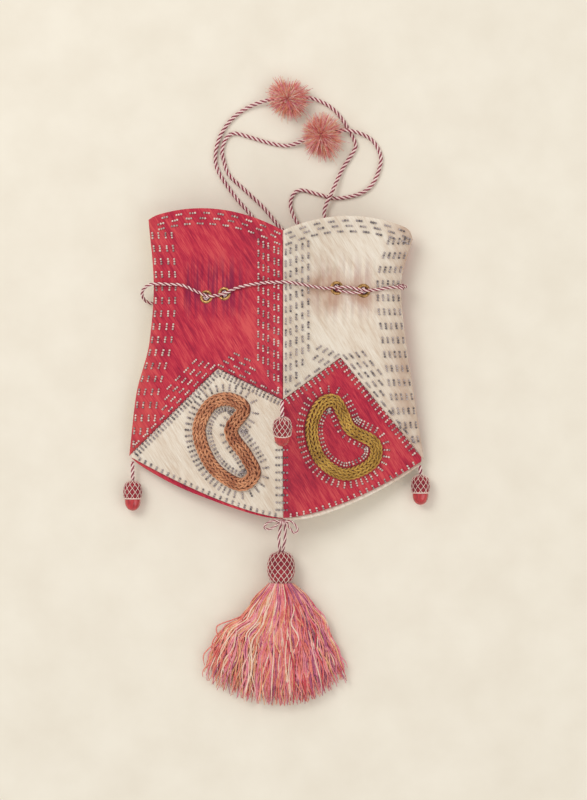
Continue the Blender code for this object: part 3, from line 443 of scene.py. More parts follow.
def cloth_material(name, deep, plain, light, fold, edge_shading_and_stain, edge_shading_span, fold_shade_strength, spots=()):
    """Brushed wool: slanting streaks of nap, cloudy dye, painted shade in the folds drawn at the waist, a felted
    bump, and a band of painted side light along one edge (lighter on the red, shade on the white) mixed with real
    stains.
    """
    n = Nodes(name)
    slant = (0.0, 0.0, NAP_SLANT)
    streaks = n.noise(1.0, 5.0, n.turned(slant, (1600.0, 110.0, 110.0)), 0.62, 0.3)
    broad = n.noise(1.0, 4.0, n.turned(slant, (270.0, 42.0, 42.0)), 0.6, 0.3)
    clouds = n.noise(22.0, 3.0, None, 0.6)
    tone = n.weighted((streaks, 0.42), (broad, 0.36), (clouds, 0.22))
    colour = n.ramp(tone, ((0.4, deep), (0.5, plain), (0.6, light)))
    # Painted shade in the creases of the waist gathers: the fold colour, broken up by noise, is laid over the wool
    # near the waist.
    drawn = n.noise(1.0, 3.0, n.turned((0.0, 0.0, 0.0), (430.0, 22.0, 22.0)), 0.6, 0.2)
    away = n.maths("ABSOLUTE", n.maths("SUBTRACT", n.axis(1), plan((0, WAIST_UP, 0))[1]))
    beside = n.maths("ABSOLUTE", n.maths("SUBTRACT", n.maths("ABSOLUTE", n.axis(0)), GATHERS_OUT))
    fold_shade_share = n.maths("MULTIPLY", n.between(away, 0.004, 0.027, 1.0, 0.0),
                         n.between(beside, 0.012, 0.03, 1.0, 0.0))
    fold_shade_share = n.maths("MULTIPLY", fold_shade_share, n.between(drawn, 0.38, 0.62))
    colour = n.mix(colour, fold, n.maths("MULTIPLY", fold_shade_share, fold_shade_strength))
    # Painted side light: the x span lightens the red wall's left edge and shades the white wall's right edge; the
    # spots are stains round the white's eyelets, and painted shade at its rim corner.
    shading_and_stain_share = n.between(n.axis(0), *edge_shading_span)
    for spot, full, none in spots:
        shading_and_stain_share = n.maths("MAXIMUM", shading_and_stain_share, n.near(spot, full, none))
    shading_and_stain_share = n.maths("MULTIPLY", shading_and_stain_share, n.between(n.noise(60.0, 4.0), 0.3, 0.7, 0.3, 1.0))
    colour = n.mix(colour, edge_shading_and_stain, n.maths("MULTIPLY", shading_and_stain_share, 0.7))
    felt = n.noise(2600.0, 2.0, None, 0.7)
    n.bump(streaks, 0.0003, 0.6)
    n.bump(felt, 0.00016, 0.6)
    return n.set(Base_Color=colour, Roughness=n.between(felt, 0.2, 0.8, 0.78, 0.95), Sheen_Weight=0.25,
                 Sheen_Roughness=0.5, Specular_IOR_Level=0.2)


def thread_material(name, dark, light, grain=2200.0, rough=0.75):
    """Spun thread: fine fibres, a little change of tone along it."""
    n = Nodes(name)
    fibre = n.noise(grain, 3.0, None, 0.65)
    tone = n.noise(120.0, 2.0)
    colour = n.ramp(n.weighted((fibre, 0.55), (tone, 0.45)), ((0.38, dark), (0.62, light)))
    n.bump(fibre, 0.00015, 0.6)
    return n.set(Base_Color=colour, Roughness=n.between(fibre, 0.3, 0.7, rough - 0.08, rough + 0.1),
                 Sheen_Weight=0.25, Sheen_Roughness=0.4, Specular_IOR_Level=0.3)


def bead_material(name, shade, pale):
    """Small glass beads, each a little different."""
    n = Nodes(name)
    island = n.node("ShaderNodeNewGeometry").outputs["Random Per Island"]
    swirl = n.noise(900.0, 2.0)
    colour = n.ramp(n.weighted((island, 0.8), (swirl, 0.25)), ((0.15, shade), (0.75, pale)))
    return n.set(Base_Color=colour, Roughness=n.between(swirl, 0.3, 0.7, 0.12, 0.24), Specular_IOR_Level=0.6,
                 Coat_Weight=0.3, Coat_Roughness=0.08)


def metal_material(name, dark, plain):
    n = Nodes(name)
    tarnish = n.noise(500.0, 4.0, None, 0.6)
    worn = n.noise(2600.0, 2.0)
    colour = n.ramp(tarnish, ((0.36, dark), (0.58, plain)))
    n.bump(worn, 0.00008, 0.4)
    return n.set(Base_Color=colour, Metallic=0.85, Roughness=n.between(tarnish, 0.35, 0.65, 0.5, 0.28))


def lacquer_material(name, deep, plain):
    n = Nodes(name)
    grain = n.noise(1.0, 3.0, n.turned((0.0, 0.0, 0.0), (700.0, 160.0, 700.0)))
    colour = n.ramp(grain, ((0.35, deep), (0.62, plain)))
    n.bump(n.noise(260.0, 1.0), 0.0001, 0.3)
    return n.set(Base_Color=colour, Roughness=n.between(grain, 0.3, 0.7, 0.14, 0.22), Coat_Weight=0.6,
                 Coat_Roughness=0.06, Specular_IOR_Level=0.6)


# Red wool: the fourth colour is painted shade in the waist gathers, and the fifth with its x span is painted light, a
# lighter band along the left edge.
RED = cloth_material("red_wool", rgb(150, 28, 58), rgb(192, 46, 68), rgb(216, 84, 86), rgb(124, 26, 68),
                     rgb(214, 92, 84), (-0.072, -0.096), 0.8)
# White wool: the fourth colour is painted shade in the waist gathers; the fifth with its x span is painted shade
# along the right edge, and its spots are stains round the right eyelets plus more painted shade at the rim's right
# corner.
WHITE = cloth_material("white_wool", rgb(217, 196, 174), rgb(232, 217, 198), rgb(243, 232, 216),
                       rgb(196, 166, 160), rgb(178, 128, 98), (0.066, 0.09), 0.55,
                       (((0.0323, 0.1068), 0.008, 0.019), ((0.0558, 0.1072), 0.006, 0.015),
                        ((0.0898, 0.146), 0.004, 0.02)))
BEAD_ON_RED = bead_material("pale_beads", rgb(142, 122, 120), rgb(226, 208, 196))
# The beads on the white cloth are a darker copy of the same pale glass beads: painted shade.
SHADED_BEAD_ON_WHITE = bead_material("shaded_grey_beads", rgb(92, 82, 86), rgb(180, 166, 164))
DARK_PLY = thread_material("maroon_ply", rgb(120, 36, 58), rgb(160, 62, 80))
PALE_PLY = thread_material("pale_ply", rgb(242, 204, 198), rgb(254, 234, 226))
LILAC_PLY = thread_material("lilac_ply", rgb(104, 78, 104), rgb(160, 128, 150))
COPPER = thread_material("copper_braid", rgb(150, 78, 50), rgb(226, 162, 118), 1500.0, 0.55)
GOLD = thread_material("gold_braid", rgb(146, 102, 30), rgb(224, 180, 86), 1500.0, 0.5)
# Dark strand laid under each row of plies: painted shadow between the plies.
BRAID_SHADOW_CORE = thread_material("braid_painted_shadow", rgb(88, 46, 40), rgb(132, 76, 52), 1500.0, 0.8)
BRASS = metal_material("old_brass", rgb(112, 84, 48), rgb(206, 160, 100))
CELLS = thread_material("netted_core", rgb(116, 22, 38), rgb(164, 44, 54), 900.0, 0.5)
NET = thread_material("net_thread", rgb(228, 190, 178), rgb(248, 226, 212))
LACQUER = lacquer_material("nut_lacquer", rgb(160, 18, 30), rgb(202, 42, 46))
YARNS = [
    thread_material("yarn_coral", rgb(222, 104, 98), rgb(246, 156, 140), 1200.0, 0.8),
    thread_material("yarn_pink", rgb(220, 108, 132), rgb(246, 164, 172), 1200.0, 0.8),
    thread_material("yarn_orange", rgb(226, 150, 106), rgb(248, 196, 154), 1200.0, 0.8),
    thread_material("yarn_plum", rgb(160, 72, 108), rgb(204, 110, 142), 1200.0, 0.8),
    thread_material("yarn_cream", rgb(238, 194, 168), rgb(253, 226, 206), 1200.0, 0.8),
    thread_material("yarn_red", rgb(184, 50, 68), rgb(220, 84, 92), 1200.0, 0.8),
]
CORAL_YARN, PINK_YARN, ORANGE_YARN, PLUM_YARN, CREAM_YARN, RED_YARN = range(6)


# Meshes


def mesh_object(name, points, faces, finishes, which=None, body="pouch"):
    """An object from plan points, riding on a body."""
    mesh = bpy.data.meshes.new(name)
    mesh.from_pydata(plan(points).tolist(), [], [list(f) for f in faces])
    for finish in finishes:
        mesh.materials.append(finish)
    if which is not None:
        mesh.polygons.foreach_set("material_index", np.asarray(which, dtype=np.int32))
    mesh.polygons.foreach_set("use_smooth", [True] * len(mesh.polygons))
    mesh.update()
    obj = bpy.data.objects.new(name, mesh)
    bpy.context.scene.collection.objects.link(obj)
    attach(obj, body)
    return obj


def ring_faces(rings, sides):
    """Quads between successive rings of points, and the two ends closed."""
    faces = []
    for i in range(rings - 1):
        for j in range(sides):
            a, b = i * sides + j, i * sides + (j + 1) % sides
            faces.append((a, b, b + sides, a + sides))
    faces.append(tuple(range(sides))[::-1])
    faces.append(tuple((rings - 1) * sides + j for j in range(sides)))
    return faces


def length_of(line):
    return float(np.sum(np.linalg.norm(np.diff(line, axis=0), axis=1)))


def unit(vectors):
    return vectors / np.maximum(np.linalg.norm(vectors, axis=-1, keepdims=True), 1e-9)


def angles_round(sides):
    return np.arange(sides) * 2 * math.pi / sides


def square_axes(axis):
    """The axis as a unit vector, and two directions square to it."""
    axis = unit(np.asarray(axis, float))
    other = np.array((1.0, 0.0, 0.0)) if abs(axis[0]) < 0.8 else np.array((0.0, 0.0, 1.0))
    side = unit(np.cross(axis, other))
    return axis, side, np.cross(axis, side)


def strands(lines, radii, sides, reference=(0.0, 0.0, 1.0)):
    """Tubes along many lines at once. lines is (count, steps, 3) and radii (count, steps)."""
    lines, radii = np.asarray(lines, float), np.asarray(radii, float)
    count, steps, _ = lines.shape
    along = unit(np.gradient(lines, axis=1))
    reference = np.broadcast_to(np.asarray(reference, float), along.shape)
    side = unit(np.cross(along, reference))
    rise = np.cross(side, along)
    angle = angles_round(sides)
    out = side[:, :, None] * np.cos(angle)[:, None] + rise[:, :, None] * np.sin(angle)[:, None]
    points = lines[:, :, None] + out * radii[:, :, None, None]
    one = ring_faces(steps, sides)
    faces = [tuple(v + k * steps * sides for v in face[::-1]) for k in range(count) for face in one]
    return points.reshape(-1, 3), faces


def smooth_line(points, step, closed=False):
    """Points about step apart on a smooth curve through the given ones, in the same units."""
    points = [np.asarray(p, float) for p in points]
    count = len(points)
    fine = []
    spans = count if closed else count - 1
    for i in range(spans):
        if closed:
            a, b, c, d = (points[(i + k) % count] for k in (-1, 0, 1, 2))
        else:
            b, c = points[i], points[i + 1]
            a = points[i - 1] if i else b * 2 - c
            d = points[i + 2] if i + 2 < count else c * 2 - b
        for k in range(16):
            t = k / 16
            fine.append(
                0.5 * (2 * b + (c - a) * t + (2 * a - 5 * b + 4 * c - d) * t**2 + (3 * b - a - 3 * c + d) * t**3)
            )
    fine.append(points[0] if closed else points[-1])
    fine = np.array(fine)
    along = np.concatenate(([0.0], np.cumsum(np.linalg.norm(np.diff(fine, axis=0), axis=1))))
    number = max(2, round(along[-1] / step))
    where = np.linspace(0.0, along[-1], number + 1)
    line = np.stack([np.interp(where, along, fine[:, k]) for k in range(3)], axis=1)
    return line[:-1] if closed else line


def carried_frames(line, closed=False):
    """Two directions square to the line at each point, carried along it without turning."""
    if closed:
        along = unit(np.roll(line, -1, axis=0) - np.roll(line, 1, axis=0))
    else:
        along = unit(np.gradient(line, axis=0))
    start = np.array((0.0, 0.0, 1.0)) if abs(along[0][2]) < 0.9 else np.array((1.0, 0.0, 0.0))
    side = unit(np.cross(along[0], start))
    sides = []
    for way in along:
        side = unit(side - way * np.dot(side, way))
        sides.append(side)
    sides = np.array(sides)
    if closed:
        last = unit(sides[-1] - along[0] * np.dot(sides[-1], along[0]))
        rise = np.cross(along[0], sides[0])
        drift = math.atan2(np.dot(last, rise), np.dot(last, sides[0]))
        turn = -drift * np.arange(len(line)) / len(line)
        rises = np.cross(along, sides)
        sides = sides * np.cos(turn)[:, None] + rises * np.sin(turn)[:, None]
    return sides, np.cross(along, sides)


def twisted(name, line, diameter, lay, closed=False, body="pouch", plies=(DARK_PLY, PALE_PLY)):
    """A four-ply twisted cord, two plies dark and two pale, as one closed mesh."""
    line = np.asarray(line, float)
    ends = line if not closed else np.vstack((line, line[:1]))
    along = np.concatenate(([0.0], np.cumsum(np.linalg.norm(np.diff(ends, axis=0), axis=1))))
    turns = along[-1] / lay
    if closed:
        turns = max(1, round(turns * 2)) / 2
    sides, rises = carried_frames(line, closed)
    lobes = 4
    per_lobe = 4
    steps = lobes * per_lobe
    radius = diameter / 2
    centre, ply = radius * 0.586, radius * 0.414
    shape = []
    for j in range(steps):
        off = math.radians((j % per_lobe - per_lobe / 2) * 90 / per_lobe)
        reach = centre * math.cos(off) + math.sqrt(max(ply**2 - (centre * math.sin(off)) ** 2, 0))
        shape.append(max(reach, radius * 0.66))
    angle = angles_round(steps)
    turn = 2 * math.pi * turns * along[: len(line)] / along[-1]
    both = angle[None, :] + turn[:, None]
    reach = np.array(shape)[None, :, None]
    out = sides[:, None] * np.cos(both)[..., None] + rises[:, None] * np.sin(both)[..., None]
    points = line[:, None] + reach * out
    rings = len(line)
    faces, which = [], []
    for i in range(rings if closed else rings - 1):
        wrap = 0
        if closed and i == rings - 1:
            wrap = round(turns * steps) % steps
        for j in range(steps):
            a, b = i * steps + j, i * steps + (j + 1) % steps
            c = ((i + 1) % rings) * steps + (j + 1 + wrap) % steps
            d = ((i + 1) % rings) * steps + (j + wrap) % steps
            faces.append((a, b, c, d))
            which.append((j // per_lobe) % 2)
    if not closed:
        faces.append(tuple(range(steps))[::-1])
        faces.append(tuple((rings - 1) * steps + j for j in range(steps)))
        which += [0, 0]
    return mesh_object(name, points.reshape(-1, 3), faces, plies, which, body)


def lathe(profile, sides, start, axis):
    """Points and faces of a turned surface. profile holds (distance along the axis, radius)."""
    axis, side, rise = square_axes(axis)
    angle = angles_round(sides)
    out = side * np.cos(angle)[:, None] + rise * np.sin(angle)[:, None]
    points = [np.asarray(start) + axis * along + out * radius for along, radius in profile]
    return np.concatenate(points), ring_faces(len(profile), sides)


# Cloth

NOISE_SHIFT = {"front": 0.0, "back": 40.0}


def gather(half, x, y):
    """Depth of the drawn folds at the waist, in millimetres."""
    middle = abs(x) / half.soft_width(y) - 0.55
    beside = 1 - smoothstep(0.14, 0.38, abs(middle))
    above = 1 - smoothstep(8.0, 27.0, abs(y - WAIST_UP + 2))
    wander = 1.6 * noise.noise(Vector((x * 0.09, y * 0.02, 3.0)))
    fold = 0.5 - 0.5 * math.cos(2 * math.pi * abs(x) / 5.4 + wander * 2)
    return 1.5 * (fold - 0.25) * beside * above * (1 - flatness(x, y))


def wrinkle(x, y, shift):
    broad = noise.noise(Vector((x * 0.035, y * 0.022, shift)))
    fine = noise.noise(Vector((x * 0.12, y * 0.07, shift + 9)))
    return 1.1 * broad + 0.35 * fine


def seam_dip(distance, depth, spread=1.7):
    return depth * math.exp(-((distance / spread) ** 2))


def front_surface(half, x, y, kind):
    """Outer and inner z of the front cloth."""
    inner = front_inner(half, x, y)
    across, along = slopes(half, x, y, 0.5)
    stood = CLOTH * min(math.sqrt(1 + across**2 + along**2), 1.9)
    loose = share_from_edge(half, x, y)
    relief = wrinkle(x, y, NOISE_SHIFT["front"]) * min(1.0, loose * 6) * 0.6
    if kind == "wall":
        relief -= gather(half, x, y)
    relief -= seam_dip(x, 0.9)
    slant = abs(y - half.seam(min(abs(x), half.corner_out))) * 0.82
    relief -= seam_dip(slant, 0.7)
    return inner + relief, inner + stood + relief


def back_surface(half, x, y):
    outer = back_outer(half, x, y)
    lift = 0.5 + 0.5 * wrinkle(x, y, NOISE_SHIFT["back"])
    lift = max(lift, 0.15) * smoothstep(0.0, 0.2, share_from_edge(half, x, y))
    return outer + lift, outer + CLOTH + lift * 0.8


def fine_marks(count, near):
    """Places from 0 to 1, close together at both ends."""
    inner = [near * 3 + (1 - near * 6) * k / count for k in range(count + 1)]
    return [0.0, near * 0.3, near, *inner, 1 - near, 1 - near * 0.3, 1.0]


def rounding(edge_distance, radius=0.9):
    """Share of the cloth's thickness that is left near its cut edge."""
    t = clamp(edge_distance / radius)
    return math.sqrt(max(1 - (1 - t) ** 2, 0.0))


HEM = {
    -1: curve_through(((0.0, 0.6), (0.1, 1.3), (0.45, 2.2), (0.7, 3.2), (0.92, 2.2), (1.0, 0.0))),
    1: curve_through(((0.0, 0.7), (0.05, 2.0), (0.3, 2.9), (0.7, 2.8), (0.95, 2.2), (1.0, 0.0))),
}


def cloth_grid(half, kind, front, columns, rows):
    """Rows of (x, y, lower z, upper z) for a wall or a lozenge."""
    grid = []
    across = fine_marks(columns, 0.008)
    upward = fine_marks(rows, 0.006)
    for v in upward:
        row = []
        for u in across:
            if kind == "wall":
                low = half.seam_at_share(u) + SEAM_GAP * 0.5
                high = half.rim(u, 0.0 if front else BACK_RIM_DROP)
                y = low + (high - low) * v
                out = max(u * half.width(y), SEAM_GAP / 2)
                wide = half.width(y)
            else:
                out = SEAM_GAP / 2 + (half.corner_out - CORNER_BLUNT - SEAM_GAP / 2) * u
                low = half.bottom_edge(out)
                if not front:
                    low -= HEM[half.sign](out / half.corner_out)
                high = half.seam(out) - SEAM_GAP * 0.5
                y = low + (high - low) * v
                wide = half.corner_out
            x = half.sign * out
            low_z, high_z = front_surface(half, x, y, kind) if front else back_surface(half, x, max(y, 0.0))
            middle = (low_z + high_z) / 2
            reach = min(u * wide, (1 - u) * wide, v * (high - low), (1 - v) * (high - low))
            share = rounding(reach)
            row.append((x, y, middle + (low_z - middle) * share, middle + (high_z - middle) * share))
        grid.append(row)
    return grid


def holes_near(x, y):
    return nearest_eyelet(x, y) < EYELET_HOLE_R + 0.4


def cloth_piece(name, half, kind, front, finish, slot, columns, rows):
    grid = cloth_grid(half, kind, front, columns, rows)
    height, width = len(grid), len(grid[0])
    flat = [p for row in grid for p in row]
    points = [(x, y, low) for x, y, low, _ in flat] + [(x, y, high) for x, y, _, high in flat]
    upper = height * width
    faces = []
    for i in range(height - 1):
        for j in range(width - 1):
            a = i * width + j
            quad = (a, a + 1, a + width + 1, a + width)
            x = sum(flat[k][0] for k in quad) / 4
            y = sum(flat[k][1] for k in quad) / 4
            if kind == "wall" and holes_near(x, y):
                continue
            if half.sign < 0:
                quad = quad[::-1]
            faces.append(quad[::-1])
            faces.append(tuple(k + upper for k in quad))
    rim = list(range(width)) + [i * width + width - 1 for i in range(1, height)]
    rim += [(height - 1) * width + j for j in range(width - 2, -1, -1)]
    rim += [i * width for i in range(height - 2, 0, -1)]
    for a, b in zip(rim, rim[1:] + rim[:1]):
        face = (a, b, b + upper, a + upper)
        faces.append(face if half.sign > 0 else face[::-1])
    obj = mesh_object(name + "_cloth", points, faces, (finish,))
    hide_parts(name)
    return obj


def all_cloth():
    """Makes the eight pieces of cloth, the back first, and returns the four of the front."""
    made = []
    for front, wall_grid, lozenge_grid in ((False, (36, 50), (40, 30)), (True, (110, 110), (90, 70))):
        where = "front" if front else "back"
        for half, side in ((LEFT, "left"), (RIGHT, "right")):
            red_wall = (half is LEFT) == front
            for kind, red, grid in (("wall", red_wall, wall_grid), ("lozenge", not red_wall, lozenge_grid)):
                finish, slot = (RED, "red cloth") if red else (WHITE, "white cloth")
                made.append(cloth_piece(f"{kind}_{where}_{side}", half, kind, front, finish, slot, *grid))
    return made[4:]


class Ground:
    """Finds the top of finished pieces under a place of the plan."""

    def __init__(self, objects):
        view = bpy.context.evaluated_depsgraph_get()
        self.trees = [BVHTree.FromObject(o, view) for o in objects]

    def under(self, x, y):
        """z and the upward normal there, or nothing."""
        start = Vector(((x - ORIGIN[0]) * MM, (y - ORIGIN[1]) * MM, 0.2))
        best = None
        for tree in self.trees:
            spot, normal, _, _ = tree.ray_cast(start, Vector((0, 0, -1)))
            if spot is not None and (best is None or spot.z > best[0]):
                best = (spot.z, normal)
        if best is None:
            return None
        normal = np.array(best[1])
        return best[0] / MM, normal if normal[2] > 0 else -normal

    def rest(self, x, y, radius):
        """z of the middle of a cord of that radius lying there."""
        tops = []
        for dx in (-2.2, -radius, 0.0, radius, 2.2):
            for dy in (-radius, 0.0, radius):
                found = self.under(x + dx, y + dy)
                tops.append(found[0] if found else 0.0)
        return max(tops) + radius


# Beads

BEAD_SIZE = 1.48
BEAD_SPACING = 1.58


def bead_shape(around=8, along=5):
    """A small round bead with its hole along x, and its faces."""
    points = [(-0.5, 0.0, 0.0)]
    for i in range(1, along):
        t = math.pi * i / along
        reach = math.sin(t) ** 0.7 * 0.5
        points += [(-0.5 * math.cos(t), reach * math.cos(2 * math.pi * j / around),
                    reach * math.sin(2 * math.pi * j / around)) for j in range(around)]
    points.append((0.5, 0.0, 0.0))
    last = len(points) - 1
    faces = []
    for j in range(around):
        faces.append((0, 1 + (j + 1) % around, 1 + j))
        end = 1 + (along - 2) * around
        faces.append((last, end + j, end + (j + 1) % around))
    for i in range(along - 2):
        for j in range(around):
            a, b = 1 + i * around + j, 1 + i * around + (j + 1) % around
            faces.append((a, b, b + around, a + around))
    return np.array(points), faces


class Beads:
    """Collects stitches of beads on a ground, and makes them as one mesh."""

    def __init__(self, ground, seed):
        self.ground = ground
        self.draw = random.Random(seed)
        self.spots = []

    def stitch(self, x, y, dx, dy, count=3, size=BEAD_SIZE, spacing=BEAD_SPACING):
        """A row of beads through (x, y) along (dx, dy)."""
        long = math.hypot(dx, dy)
        dx, dy = dx / long, dy / long
        for k in range(count):
            off = (k - (count - 1) / 2) * spacing + self.draw.uniform(-0.12, 0.12)
            side = self.draw.uniform(-0.12, 0.12)
            bx, by = x + dx * off - dy * side, y + dy * off + dx * side
            found = self.ground.under(bx, by)
            if found is None:
                continue
            z, normal = found
            way = np.array((dx, dy, 0.0))
            way = unit(way - normal * np.dot(way, normal))
            self.spots.append((np.array((bx, by, z)) + normal * size * 0.36, way, normal,
                               size * self.draw.uniform(0.92, 1.08)))

    def make(self, name, finish):
        shape, faces = bead_shape()
        points, all_faces = [], []
        for spot, way, normal, size in self.spots:
            across = np.cross(normal, way)
            start = len(points) * len(shape)
            local = shape * np.array((size * 0.92, size, size))
            points.append(spot + local[:, :1] * way + local[:, 1:2] * across + local[:, 2:] * normal)
            all_faces += [tuple(v + start for v in face) for face in faces]
        mesh_object(name, np.concatenate(points), all_faces, (finish,))


# Rows of stitches on a wall. A rim row is (distance under the rim, pitch).
RIDGE_PITCH = 7.5
RIDGE_MARGINS = (4.2, 9.0, 9.0, 15.0, 15.0)
RIM_ROWS = ((3.1, 9.2), (6.5, 9.2), (10.0, 8.4))
CHEVRON_REACHES = (2.6, 6.2, 9.8, 13.6)
CHEVRON_PITCH = 7.8


def inside_wall(half, x, y, margin):
    out = abs(x)
    if out > half.corner_out - 2 or y < half.corner_up:
        return False
    return y > half.seam(out) + margin and out < half.width(y) - 1.0


def wall_beads(half, ground, finish, sides, ridges, name, seed):
    """Rows of stitches down the sides, along the rim and over the lozenge's point."""
    beads = Beads(ground, seed)
    offsets, first, pitch = sides
    for offset in offsets:
        y = half.rim_up - first
        while y > half.corner_up + 3:
            out = half.width(y) - offset
            slope = (half.width(y + 2) - half.width(y - 2)) / 4
            if inside_wall(half, out, y, 3.6):
                beads.stitch(half.sign * out, y, half.sign * slope, 1.0)
            y -= pitch
    for k, out in enumerate(ridges):
        y = half.rim(clamp(out / half.rim_out)) - 14.5 - (k % 2) * 0.5
        while y > FRONT_CORNER_UP:
            if inside_wall(half, out, y, RIDGE_MARGINS[k]):
                beads.stitch(half.sign * out, y, 0.0, 1.0)
            y -= RIDGE_PITCH
    for row, (drop, pitch) in enumerate(RIM_ROWS):
        out = 3.4 + (row % 2) * 2.5
        while out < half.rim_out - 2.5:
            share = out / half.rim_out
            slope = (half.rim(share + 0.01) - half.rim(share - 0.01)) / (0.02 * half.rim_out)
            y = half.rim(share) - drop
            if out < half.width(y) - 2.0:
                beads.stitch(half.sign * out, y, half.sign * 1.0, slope)
            out += pitch
    apex, top_y = half.apex_out, half.apex_up
    for row, reach in enumerate(CHEVRON_REACHES):
        for toward, ends in ((-1, (0.0, FRONT_CORNER_UP)), (1, (half.corner_out, half.corner_up))):
            wide, tall = ends[0] - apex, ends[1] - top_y
            long = math.hypot(wide, tall)
            ux, uy = wide / long, tall / long
            nx, ny = -uy * toward, ux * toward
            at = 1.5 + row * 2.0
            stop = long - (5 if toward < 0 else 9 + row * 2)
            while at < stop:
                out, y = apex + ux * at + nx * reach, top_y + uy * at + ny * reach
                near_ridge = out < ridges[-1] + 2.0 and row > 0
                near_side = row > 0 and out > half.width(y) - offsets[-1] - 2.2
                if inside_wall(half, out, y, 1.5) and not near_ridge and not near_side:
                    beads.stitch(half.sign * out, y, half.sign * ux, uy)
                at += CHEVRON_PITCH
    beads.make(name, finish)


SMALL_BEAD = 1.45
BEAN_PITCH_OUTSIDE = 2.8
BEAN_PITCH_INSIDE = 3.1
SEAM_PITCH = 4.9
UNDER_ACORN = 27


def closed_outline(outline, step):
    line = smooth_line([(x, y, 0.0) for x, y in outline], step, closed=True)
    along = unit(np.roll(line, -1, axis=0) - np.roll(line, 1, axis=0))
    area = np.sum(line[:, 0] * np.roll(line[:, 1], -1) - np.roll(line[:, 0], -1) * line[:, 1])
    outward = np.stack((along[:, 1], -along[:, 0], np.zeros(len(line))), axis=1) * (1 if area > 0 else -1)
    return line, outward


def lozenge_beads(half, ground, finish, outline, band, pitches, name, seed):
    """Stitches over the lozenge's four edges and round both sides of its ring."""
    beads = Beads(ground, seed)
    tip = half.corner_out - CORNER_BLUNT - 1.5
    upper, lower = pitches
    out = 1.5
    while out < tip:
        run = half.seam(out + 0.5) - half.seam(out - 0.5)
        long = math.hypot(1, run)
        x, y = out + 2.1 * run / long, half.seam(out) - 2.1 / long
        if y > half.bottom_edge(out) + 3 and x > 1.0:
            count = 3 if abs(out - half.apex_out) > 3 else 2
            beads.stitch(half.sign * x, y, -half.sign * run / long, 1 / long, count, SMALL_BEAD, 1.5)
        out += upper / long
    out = 5.0
    while out < tip - 2:
        run = half.bottom_edge(out + 0.5) - half.bottom_edge(out - 0.5)
        long = math.hypot(1, run)
        x, y = out - 0.2 * run / long, half.bottom_edge(out) + 0.2 / long
        beads.stitch(half.sign * x, y, -half.sign * run / long, 1 / long, 4, SMALL_BEAD, 1.5)
        out += lower / long
    for toward, count, pitch in ((1, 3, BEAN_PITCH_OUTSIDE), (-1, 2, BEAN_PITCH_INSIDE)):
        line, outward = closed_outline(outline, pitch)
        reach = band / 2 + (2.9 if toward > 0 else 2.1)
        for spot, way in zip(line, outward):
            x, y = spot[0] + way[0] * reach * toward, spot[1] + way[1] * reach * toward
            gap = np.min(np.linalg.norm(line[:, :2] - np.array((x, y)), axis=1))
            if gap > reach - 0.8:
                beads.stitch(x, y, way[0], way[1], count, SMALL_BEAD, 1.6)
    beads.make(name, finish)


def seam_beads(ground, finish, name, seed):
    """Long stitches across the seam between the two front lozenges."""
    beads = Beads(ground, seed)
    y = 5.5
    while y < FRONT_CORNER_UP - UNDER_ACORN:
        beads.stitch(-0.8, y, 1.0, 0.0, 5, 1.5, 1.62)
        y += SEAM_PITCH
    beads.make(name, finish)


def braid(name, outline, ground, finish, wide, node):
    """Four two-ply cords side by side in a closed ring, twisted to the left and to the right by turns."""
    line, outward = closed_outline(outline, 0.8)
    count, rows = len(line), 4
    ply_r, turn_r, lay = wide / 14, wide / 15, 6.8
    strand_lines, radii, which = [], [], []
    for row in range(rows):
        off = (row - (rows - 1) / 2) * wide / (rows + 0.3)
        hand = 1 if row % 2 else -1
        lift = 1.5 + (0.55 if row in (1, 2) else 0.0)
        base, normals = [], []
        for i in range(count + 1):
            spot = line[i % count] + outward[i % count] * off
            found = ground.under(spot[0], spot[1])
            z, normal = found if found else (0.0, np.array((0.0, 0.0, 1.0)))
            base.append((spot[0], spot[1], z))
            normals.append(normal)
        base, normals = np.array(base), np.array(normals)
        turns = round(length_of(base) / lay)
        sides = outward[np.arange(count + 1) % count]
        for ply in range(2):
            turn = 2 * math.pi * turns * np.arange(count + 1) / count + math.pi * ply + row * 0.8
            strand_lines.append(base + normals * (lift + turn_r * np.sin(turn))[:, None]
                                + sides * (hand * turn_r * np.cos(turn))[:, None])
            radii.append(np.full(count + 1, ply_r))
        # A dark core under the two plies, in painted shadow colour, so the gaps between plies read as shade.
        strand_lines.append(base + normals * (lift - 0.75))
        radii.append(np.full(count + 1, wide / 8.2))
    points, faces = strands(strand_lines, np.array(radii), 8)
    each = len(faces) // len(strand_lines)
    which = [1 if (k // each) % 3 == 2 else 0 for k in range(len(faces))]
    obj = mesh_object(name, points, faces, (finish, BRAID_SHADOW_CORE), which)
    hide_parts(node)


# Route of the outer pull cord beyond the mouth, from the left strand to the right strand
OUTER_LOOP = ((-21.1, 197.6, 3.3), (-31.7, 210.1, 1.5), (-42.3, 226.1, 1.4), (-44.3, 236.7, 1.4),
              (-41.6, 248.6, 1.4), (-34.3, 259.9, 1.4), (-23.7, 267.9, 1.8), (-10.5, 272.7, 5.4),
              (2.8, 273.7, 8.2), (16.1, 274.5, 5.4), (28.0, 270.5, 1.8), (36.0, 263.9, 1.4),
              (42.0, 255.3, 1.4), (47.3, 244.7, 1.4), (46.0, 239.3, 1.4), (38.6, 227.4, 1.9),
              (32.0, 212.8, 4.8), (27.3, 202.2, 3.9), (27.3, 193.8, 4.0))
OUTER_LOOP_POM = 8

